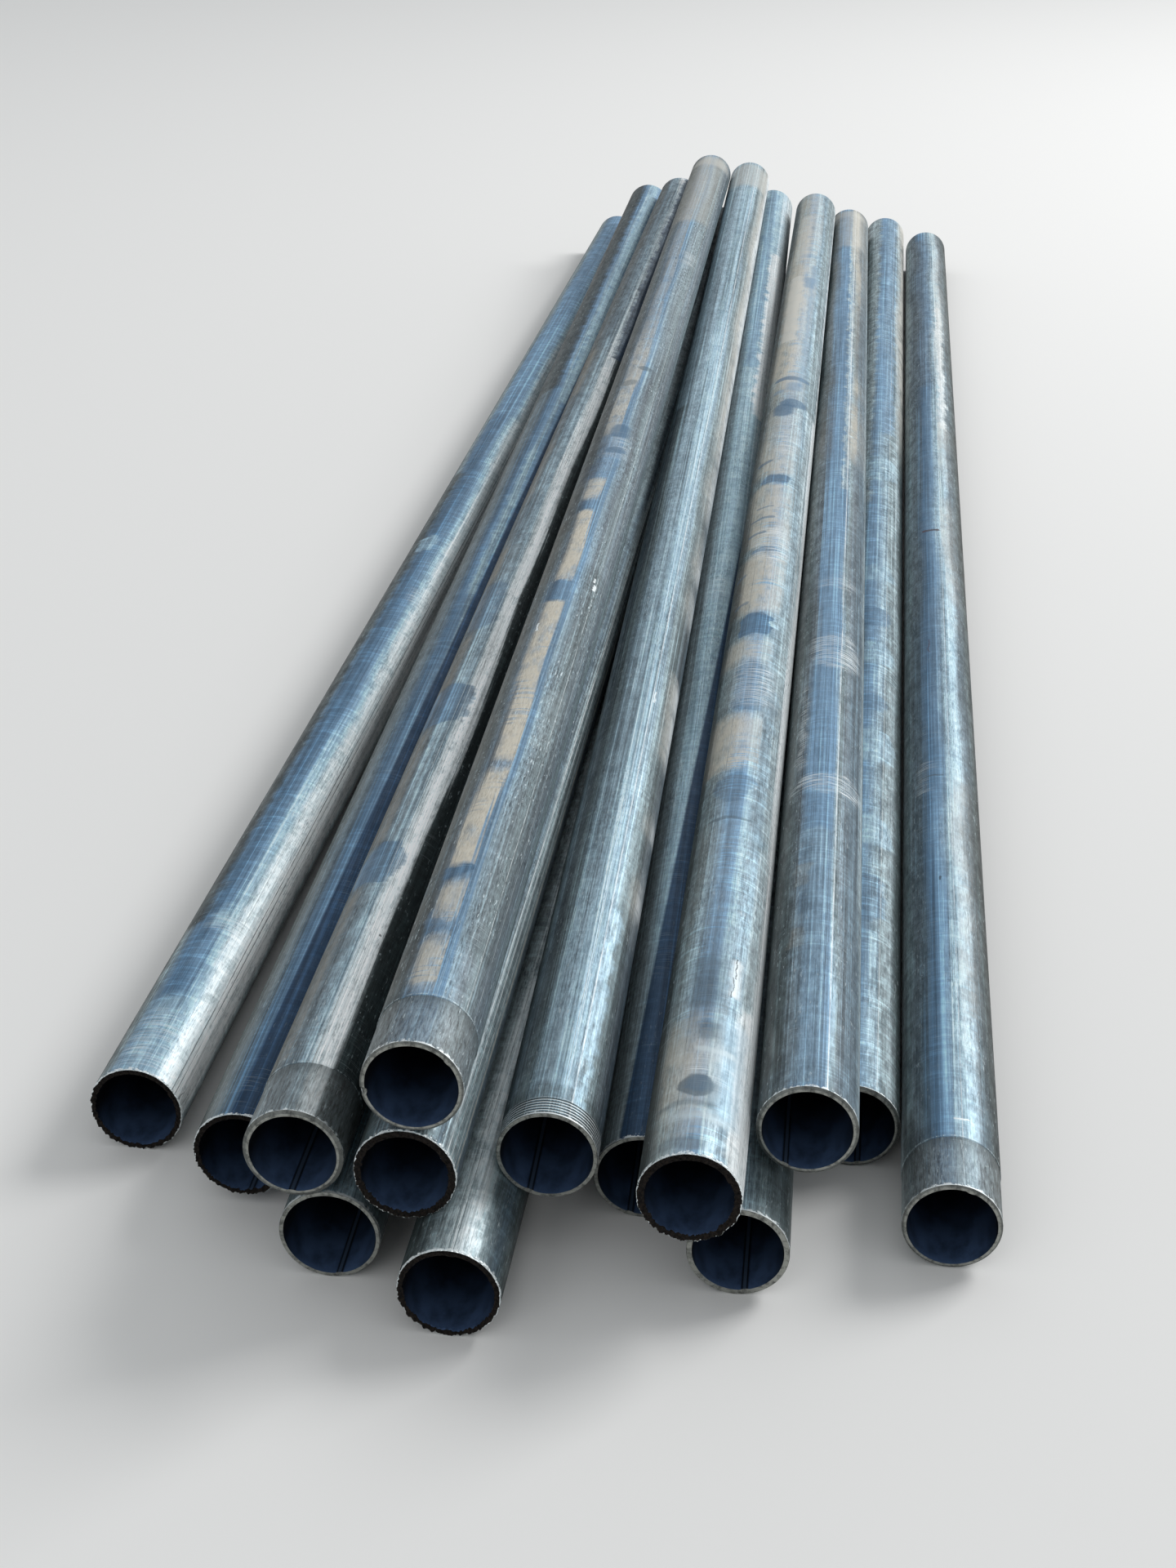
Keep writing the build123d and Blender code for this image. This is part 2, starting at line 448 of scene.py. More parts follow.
def lie_of_skin(tree, seed):
    place = tube_place(tree)
    noise = partial(grain, tree, place, seed=seed)
    spot = add(tree, SPLIT_XYZ, (place,)).node.outputs
    turn = add(tree, MATH, (spot["X"], spot["Z"]), operation="ARCTAN2")
    arc = add(tree, MATH, (turn, OUTSIDE_RADIUS), operation="MULTIPLY")
    flat = add(tree, JOIN_XYZ, (arc, spot["Y"]))
    spread = add(tree, VECTOR, (place, (1 / WOBBLE_CELL,) * 3, (seed, seed, 0.0)),
                 operation="MULTIPLY_ADD")
    wobble = add(tree, NOISE, (spread, None, 1.0, 5.0, 0.6), "Color")
    wobble = add(tree, VECTOR, (wobble, (0.5, 0.5, 0.5)), operation="SUBTRACT")
    gentle = add(tree, VECTOR, (wobble, GENTLE, flat), operation="MULTIPLY_ADD")
    ragged = add(tree, VECTOR, (wobble, RAGGED, flat), operation="MULTIPLY_ADD")
    sway = add(tree, RANGE, (noise(WANDER), 0.3, 0.7, -SWAY, SWAY))
    comb = add(tree, RANGE, (noise(DIE_LINES), 0.3, 0.7, -COMB, COMB))
    shift = add(tree, MATH, (sway, comb), operation="ADD")
    share = add(tree, MATH, (turn, 1 / math.tau, 0.5), operation="MULTIPLY_ADD")
    round_it = add(tree, MATH, (share, shift), operation="ADD")
    return Lie(spot["Y"], turn, round_it, flat, gentle, ragged, noise)


def round_stops(rows):
    """Ramp stops from finishes or shares at angles round the tube, its top at a half."""
    return [(degrees / 360 + 0.5, value) for degrees, value in rows]


def patch_cover(tree, flat, along, angle, length, width, soft, strength):
    """strength inside a round-cornered patch of the skin, falling to nought over its soft edge.
    The sizes are millimetres, and the patch's middle is at along and at angle."""
    corner = min(length, width) / 2
    core = ((width / 2 - corner) * MM, (length / 2 - corner) * MM, 0.0)
    middle = (math.radians(angle) * OUTSIDE_RADIUS, along * MM, 0.0)
    aside = add(tree, VECTOR, (flat, middle), operation="SUBTRACT")
    aside = add(tree, VECTOR, (aside,), operation="ABSOLUTE")
    aside = add(tree, VECTOR, (aside, core), operation="SUBTRACT")
    aside = add(tree, VECTOR, (aside, (0.0, 0.0, 0.0)), operation="MAXIMUM")
    gap = add(tree, VECTOR, (aside,), "Value", operation="LENGTH")
    inner = (corner - min(soft, corner)) * MM
    return add(tree, RANGE, (gap, corner * MM, inner, 0.0, strength), interpolation_type="SMOOTHSTEP")


def patched(tree, colour, flat, rows):
    """A colour with patches of other finishes, each row a finish and then its patch."""
    return layered(tree, colour, *[(patch_cover(tree, flat, *patch), finish) for finish, *patch in rows])


def painted_cast_shadow(tree, colour, lie, look):
    """Painted shadow: the side that lies under the next tube, painted deep blue as that tube's shadow up
    to a straight, slanting edge.
    """
    for finish, start, climb, strength in look["painted_shadow"]:
        edge = add(tree, MATH, (lie.along, math.radians(climb), math.radians(start)),
                   operation="MULTIPLY_ADD")
        past = add(tree, MATH, (lie.turn, edge), operation="SUBTRACT")
        cover = add(tree, RANGE, (past, -0.03, 0.05, 0.0, strength), interpolation_type="SMOOTHSTEP")
        colour = layered(tree, colour, (cover, finish))
    return colour


def plainness(tree, colour):
    """One where the steel is grey and grainy, near nought where it is painted the smooth blue of a sky
    reflection.
    """
    _, saturation, _ = add(tree, "ShaderNodeSeparateColor", (colour,), mode="HSV").node.outputs
    return add(tree, RANGE, (saturation, 0.35, 0.62, 1.0, 0.2))


def rub_marks(tree, colour, lie, look):
    """Torn-edged places rubbed pale or worn blue, and streaky strokes wiped across the tube."""
    blotch = lie.noise(BLOTCHES)
    plain = add(tree, MATH, (plainness(tree, colour), look["mottle"]), operation="MULTIPLY")
    pale = add(tree, RANGE, (blotch, 0.5, 0.57, 0.0, plain))
    worn = add(tree, RANGE, (blotch, 0.47, 0.41, 0.0, plain))
    wisps = add(tree, RANGE, (lie.noise(WISPS), 0.5, 0.66, 0.0, look["wisps"]))
    where = lie.noise(WIPED_PLACES)
    there = add(tree, RANGE, (where, 0.46, 0.56, 0.0, look["wipes"]))
    wiped = add(tree, RANGE, (lie.noise(STROKES), 0.53, 0.58, 0.0, there))
    faint = add(tree, MATH, (wiped, 0.6), operation="MULTIPLY")
    colour = layered(tree, colour, (pale, GLINT, "OVERLAY"), (worn, DULL_STEEL, "MULTIPLY"),
                     (wisps, GLINT, "OVERLAY"), (faint, GLINT, "OVERLAY"))
    return colour, blotch, wiped


def dust_film(tree, colour, lie, look, length, wiped):
    """Thin dust in bands along the tube, wiped off in places. On some tubes its colour round the tube
    is painted darker on a shaded side and paler as a highlight.
    """
    edges = add(tree, SPLIT_XYZ, (lie.ragged,)).node.outputs
    share = add(tree, MATH, (edges["Y"], length), operation="DIVIDE")
    film = ramp_of(tree, share, [(y / (length / MM), v) for y, v in look["film_along"]])
    for factor in (
        ramp_of(tree, lie.round_it, round_stops([(-180, 0.0), *look["film_round"], (180, 0.0)])),
        add(tree, RANGE, (lie.noise(THIN_DUST), 0.3, 0.52, 0.5, 1.0)),
        add(tree, RANGE, (wiped, 0.1, 0.5, 1.0, 0.25)),
    ):
        film = add(tree, MATH, (film, factor), operation="MULTIPLY")
    dust = ramp_of(tree, lie.round_it, round_stops(look["film"]))
    return layered(tree, colour, (film, dust)), film


def die_streaks(tree, colour, lie, look, lines):
    """Fine lines left by the die, light and dark, and longer bands of a slightly different tone."""
    both = add(tree, MATH, (lines, lie.noise(FINE_LINES)), operation="ADD")
    both = add(tree, MATH, (both, lie.noise(DIE_BANDS)), operation="ADD")
    half = look["streaks"]
    tone = add(tree, RANGE, (both, 1.2, 1.8, 1.0 - half, 1.0 + half))
    colour = add(tree, VECTOR, {0: colour, "Scale": tone}, operation="SCALE")
    pale = add(tree, RANGE, (lines, 0.57, 0.65, 0.0, half * 1.6))
    return layered(tree, colour, (pale, GLINT, "OVERLAY"))


def flecks(tree, colour, lie, look, film):
    """Short flecks along the tube and brighter sparks among them, both in drifts; the sparks are
    painted glints of light off the grain. Both are faint where the skin is painted a smooth blue or
    lies under dust. The real sparks are finer than these, which are as coarse as they need to be to show."""
    drift = lie.noise(DRIFTS)
    drift = add(tree, RANGE, (drift, 0.4, 0.6, 0.5 * look["grit"], 1.2 * look["grit"]))
    plain = add(tree, MATH, (plainness(tree, colour), drift), operation="MULTIPLY")
    clear = add(tree, RANGE, (film, 0.0, 0.8, 1.0, 0.4))
    plain = add(tree, MATH, (plain, clear), operation="MULTIPLY")
    grit = lie.noise(GRIT)
    sparks = lie.noise(SPARKS)
    for noise, low, high, most, *layer in (
        (grit, 0.52, 0.62, 0.7, GLINT, "OVERLAY"),
        (grit, 0.46, 0.36, 0.8, SLATE, "MULTIPLY"),
        # Painted glints of light off the grain.
        (sparks, 0.64, 0.7, 0.9, HIGHLIGHT_AND_SCRATCH_WHITE),
    ):
        cover = add(tree, RANGE, (noise, low, high, 0.0, most))
        cover = add(tree, MATH, (cover, plain), operation="MULTIPLY")
        colour = layered(tree, colour, (cover, *layer))
    return colour, grit


def scuffs(tree, colour, lie, look):
    """Bright scratches round the tube, loosely everywhere and close together where it was dragged."""
    cuts = lie.noise(SCRATCHES)
    where = lie.noise(SCRATCHED_PLACES)
    loose = add(tree, RANGE, (where, 0.52, 0.62, 0.0, look["scuffs"]))
    colour = layered(tree, colour, (add(tree, RANGE, (cuts, 0.6, 0.7, 0.0, loose)), HIGHLIGHT_AND_SCRATCH_WHITE))
    for row in look["dragged"]:
        group = patch_cover(tree, lie.ragged, *row)
        colour = layered(tree, colour, (add(tree, RANGE, (cuts, 0.5, 0.62, 0.0, group)), GLINT))
    return colour


def seam_lines(tree, colour, lie, look):
    """Lines along the whole tube, such as the scarfed weld, worn away in places."""
    worn = add(tree, RANGE, (lie.noise(SEAM_BREAKS), 0.34, 0.54, 0.25, 1.0))
    middle, past_both_ends = 1500, 4000
    for finish, angle, width, strength in look["seams"]:
        line = patch_cover(tree, lie.flat, middle, angle, past_both_ends, width, width / 2, strength)
        cover = add(tree, MATH, (line, worn), operation="MULTIPLY")
        colour = layered(tree, colour, (cover, finish))
    return colour


def turned_band(tree, colour, lie):
    """The band turned under size: dull and grubby, rubbed bare in specks, darker towards its step, and
    bright knocks along the step's edge."""
    on_band = add(tree, RANGE, (lie.along, BAND_LENGTH, BAND_LENGTH + BAND_DEPTH, 0.9, 0.0))
    worn = lie.noise(BAND_WEAR)
    rubbed = add(tree, RANGE, (worn, 0.36, 0.56))
    matt = layered(tree, linear(BAND_DIRT), (rubbed, MATT_BAND))
    uneven = add(tree, RANGE, (worn, 0.3, 0.7, -8 * MM, 8 * MM))
    reach = add(tree, MATH, (lie.along, uneven), operation="ADD")
    step_darkening = add(tree, RANGE, (reach, BAND_LENGTH - 16 * MM, BAND_LENGTH, 0.0, 0.5))
    step_darkening = add(tree, MATH, (step_darkening, on_band), operation="MULTIPLY")
    past_step = (BAND_LENGTH + BAND_DEPTH) / MM + 0.9
    all_round = 400
    edge = patch_cover(tree, lie.flat, past_step, 0, 2.2, all_round, 0.9, 0.7)
    knocks = add(tree, RANGE, (worn, 0.45, 0.6, 0.0, edge))
    return layered(tree, colour, (on_band, layered(tree, colour, (0.7, matt))), (step_darkening, SHADE),
                   (knocks, HIGHLIGHT_AND_SCRATCH_WHITE))


def groove_rings(tree, colour, lie):
    """Grooves: painted shade in the valleys and a painted highlight on the crests."""
    turns = add(tree, MATH, (lie.along, math.tau / GROOVE_PITCH, -math.tau * GROOVE_START / GROOVE_PITCH),
                operation="MULTIPLY_ADD")
    crest = add(tree, MATH, (turns,), operation="COSINE")
    last = GROOVE_START + GROOVE_COUNT * GROOVE_PITCH
    here = add(tree, RANGE, (lie.along, last, last - 0.5 * MM, 0.0, 0.9))
    valley_shade = add(tree, RANGE, (crest, 0.1, -0.6, 0.0, here))
    bright = add(tree, RANGE, (crest, 0.5, 0.9, 0.0, here))
    return layered(tree, colour, (valley_shade, SHADE), (bright, GLINT))


def mouth_wear(tree, colour, lie):
    """The skin's last millimetres at the mouth, knocked bright."""
    knocks = lie.noise(MOUTH_KNOCKS)
    reach = add(tree, RANGE, (knocks, 0.35, 0.65, 0.8 * MM, 5.5 * MM))
    edge = add(tree, MATH, (lie.along, reach), operation="DIVIDE")
    return layered(tree, colour, (add(tree, RANGE, (edge, 1.0, 0.6, 0.0, 0.85)), GLINT))


def skin_finish(name, look, seed, length):
    """Cold drawn mill-finish steel: long die lines over bands round the tube that are mostly painted
    light, with shade on the sides, a reflection of blue sky and a highlight, a painted shadow where a
    tube lies above, rubbed pale in places, a thin tan dust, scratches where tubes were dragged over
    each other."""
    material, tree = new_material(name)
    lie = lie_of_skin(tree, seed)
    lines = lie.noise(DIE_LINES)
    # Painted light by angle: shade on the sides and underside, a reflection of sky and a highlight.
    colour = ramp_of(tree, lie.round_it, round_stops([(-180, UNDERSIDE_SHADE), *look["round"], (180, UNDERSIDE_SHADE)]))
    # Patches, among them painted shade, shadow and highlight.
    colour = patched(tree, colour, lie.ragged, look["patches"])
    # The painted shadow of the tube above.
    colour = painted_cast_shadow(tree, colour, lie, look)
    colour, blotch, wiped = rub_marks(tree, colour, lie, look)
    colour = die_streaks(tree, colour, lie, look, lines)
    colour, film = dust_film(tree, colour, lie, look, length, wiped)
    colour = seam_lines(tree, colour, lie, look)
    if look["end"] == "banded":
        colour = turned_band(tree, colour, lie)
    colour, grit = flecks(tree, colour, lie, look, film)
    colour = scuffs(tree, colour, lie, look)
    if look["end"] == "grooved":
        colour = groove_rings(tree, colour, lie)
    colour = patched(tree, colour, lie.gentle, look["marks"])
    colour = mouth_wear(tree, colour, lie)
    rough = add(tree, RANGE, (blotch, 0.35, 0.65, look["rough"] + 0.08, look["rough"] - 0.08))
    rough = add(tree, MATH, (film, 0.25, rough), operation="MULTIPLY_ADD")
    metallic = add(tree, RANGE, (film, 0.0, 1.0, 0.55, 0.1))
    relief = add(tree, MATH, (grit, lines), operation="ADD")
    bump = add(tree, "ShaderNodeBump", {"Strength": 0.25, "Distance": 0.25 * MM, "Height": relief})
    give_surface(tree, {"Base Color": colour, "Metallic": metallic, "Roughness": rough, "Normal": bump,
                        "Specular IOR Level": 0.25})
    return material


def bore_finish(name):
    """Blue-black oxide left by welding and rolling, with paler drag lines, painted light along the
    bottom near the mouth where skylight reaches in, and a weld bead painted with shade on its flanks
    and a highlight on its crest."""
    material, tree = new_material(name)
    place = tube_place(tree)
    drag = add(tree, RANGE, (grain(tree, place, BORE_LINES), 0.42, 0.7, 0.0, 0.7))
    cloud = grain(tree, place, BORE_CLOUDS)
    spot = add(tree, SPLIT_XYZ, (place,)).node.outputs
    low = add(tree, RANGE, (spot["Z"], 0.0, -32 * MM, 0.0, 1.0), interpolation_type="SMOOTHSTEP")
    inwards = add(tree, RANGE, (spot["Y"], 5 * MM, 95 * MM, 1.0, 0.0), interpolation_type="SMOOTHSTEP")
    low = add(tree, MATH, (low, inwards), operation="MULTIPLY")
    patchy = add(tree, RANGE, (cloud, 0.35, 0.6, 0.5, 1.0))
    painted_skylight = add(tree, MATH, (low, patchy), operation="MULTIPLY")
    bead = add(tree, "ShaderNodeAttribute", out="Fac", attribute_name="bead")
    flank_shade = add(tree, RANGE, (bead, 0.2, 0.7, 0.0, 0.9))
    crest = add(tree, RANGE, (bead, 0.9, 0.98, 0.0, 0.7))
    colour = layered(tree, linear(BORE_OXIDE), (drag, BORE_DRAG), (painted_skylight, BORE_SKYLIGHT),
                     (flank_shade, BEAD_FLANK_SHADE), (crest, BEAD_CREST_HIGHLIGHT))
    rough = add(tree, RANGE, (cloud, 0.3, 0.7, 0.45, 0.65))
    give_surface(tree, {"Base Color": colour, "Metallic": 0.3, "Roughness": rough,
                        "Specular IOR Level": 0.3})
    return material


def machined_finish(name):
    """A weld bevel off the tool and since gone dull: a pale flat land, a greyer slope, oxide spots."""
    material, tree = new_material(name)
    place = tube_place(tree)
    dull = grain(tree, place, OXIDE_SPOTS)
    spots = add(tree, RANGE, (dull, 0.46, 0.64, 0.0, 0.8))
    spot = add(tree, SPLIT_XYZ, (place,)).node.outputs
    sloped = add(tree, RANGE, (spot["Y"], 0.05 * MM, 0.3 * MM, 0.0, 0.75))
    colour = layered(tree, linear(MACHINED_LAND), (sloped, MACHINED_SLOPE), (spots, MACHINED_SPOT))
    rough = add(tree, RANGE, (dull, 0.3, 0.7, 0.38, 0.6))
    give_surface(tree, {"Base Color": colour, "Metallic": 0.7, "Roughness": rough})
    return material


def sawn_finish(name):
    """A hot saw cut left to the weather: brown scale, torn, painted near black as shade, worn bright at
    its outer edge.
    """
    material, tree = new_material(name)
    place = tube_place(tree)
    scale = grain(tree, place, SAWN_SCALE)
    burnt = add(tree, RANGE, (scale, 0.42, 0.7))
    spot = add(tree, SPLIT_XYZ, (place,)).node.outputs
    flat = add(tree, JOIN_XYZ, (spot["X"], None, spot["Z"]))
    radius = add(tree, VECTOR, (flat,), "Value", operation="LENGTH")
    ragged = add(tree, MATH, (scale, 1.6 * MM, radius), operation="MULTIPLY_ADD")
    worn = add(tree, RANGE, (ragged, OUTSIDE_RADIUS + 0.6 * MM, OUTSIDE_RADIUS + 0.9 * MM, 0.0, 0.8))
    colour = layered(tree, linear(SAWN_SHADE_BLACK), (burnt, SAWN_BROWN), (worn, SAWN_EDGE))
    bump = add(tree, "ShaderNodeBump", {"Strength": 0.9, "Distance": 0.6 * MM, "Height": scale})
    give_surface(tree, {"Base Color": colour, "Metallic": 0.1, "Roughness": 0.85, "Normal": bump,
                        "Specular IOR Level": 0.2})
    return material


# The fourteen tubes

# How far a cut tears, and how much of the skin beside the mouth is meshed finely.
ENDS = {
    "sawn": dict(ragged=2.2 * MM, zone=20 * MM, rows=40),
    "plain": dict(ragged=0.1 * MM, zone=20 * MM, rows=40),
    "grooved": dict(ragged=0.15 * MM, zone=26 * MM, rows=110),
    "bevelled": dict(ragged=0.1 * MM, zone=20 * MM, rows=40),
    "banded": dict(ragged=0.15 * MM, zone=66 * MM, rows=66),
}

# A look gives the near end, the angle of the weld bead, a nick's angle and depth, how strong the
# mottle, wisps, wipes, streaks, grit and scuffs are, and the roughness. Then come these, with
# angles in degrees and lengths in millimetres:
# round: the colour at angles round the tube, mostly painted light: shade on the sides, a reflection
# of sky and a highlight. It is the underside's painted shade at the bottom.
# film: the dust's colour at angles round the tube, on some tubes painted darker on a shaded side and
# paler as a highlight. film_round, film_along: how much of it lies
# at angles round the tube, with none at the bottom, and at places along it.
# patches, marks: finish, along, angle, length, width, soft edge, strength. Many dark, white and blue
# patches are painted shade, shadow, highlight and sky reflection.
# The painted shadow of the tube above: finish, angle of the edge at the mouth, degrees it climbs in
# each metre, strength.
# dragged: along, angle, length, width, soft edge, strength. seams: finish, angle, width, strength.
COMMON = dict(
    end="sawn", bead=170, nick=(0, 0.0), mottle=0.25, wisps=0.4, wipes=0.3, streaks=0.3, grit=0.5,
    scuffs=0.25, rough=0.5, film=[(-180, TAN), (180, TAN)], film_round=[],
    film_along=[(0, 0.0), (3048, 0.0)], patches=[], painted_shadow=[], marks=[], dragged=[], seams=[],
)

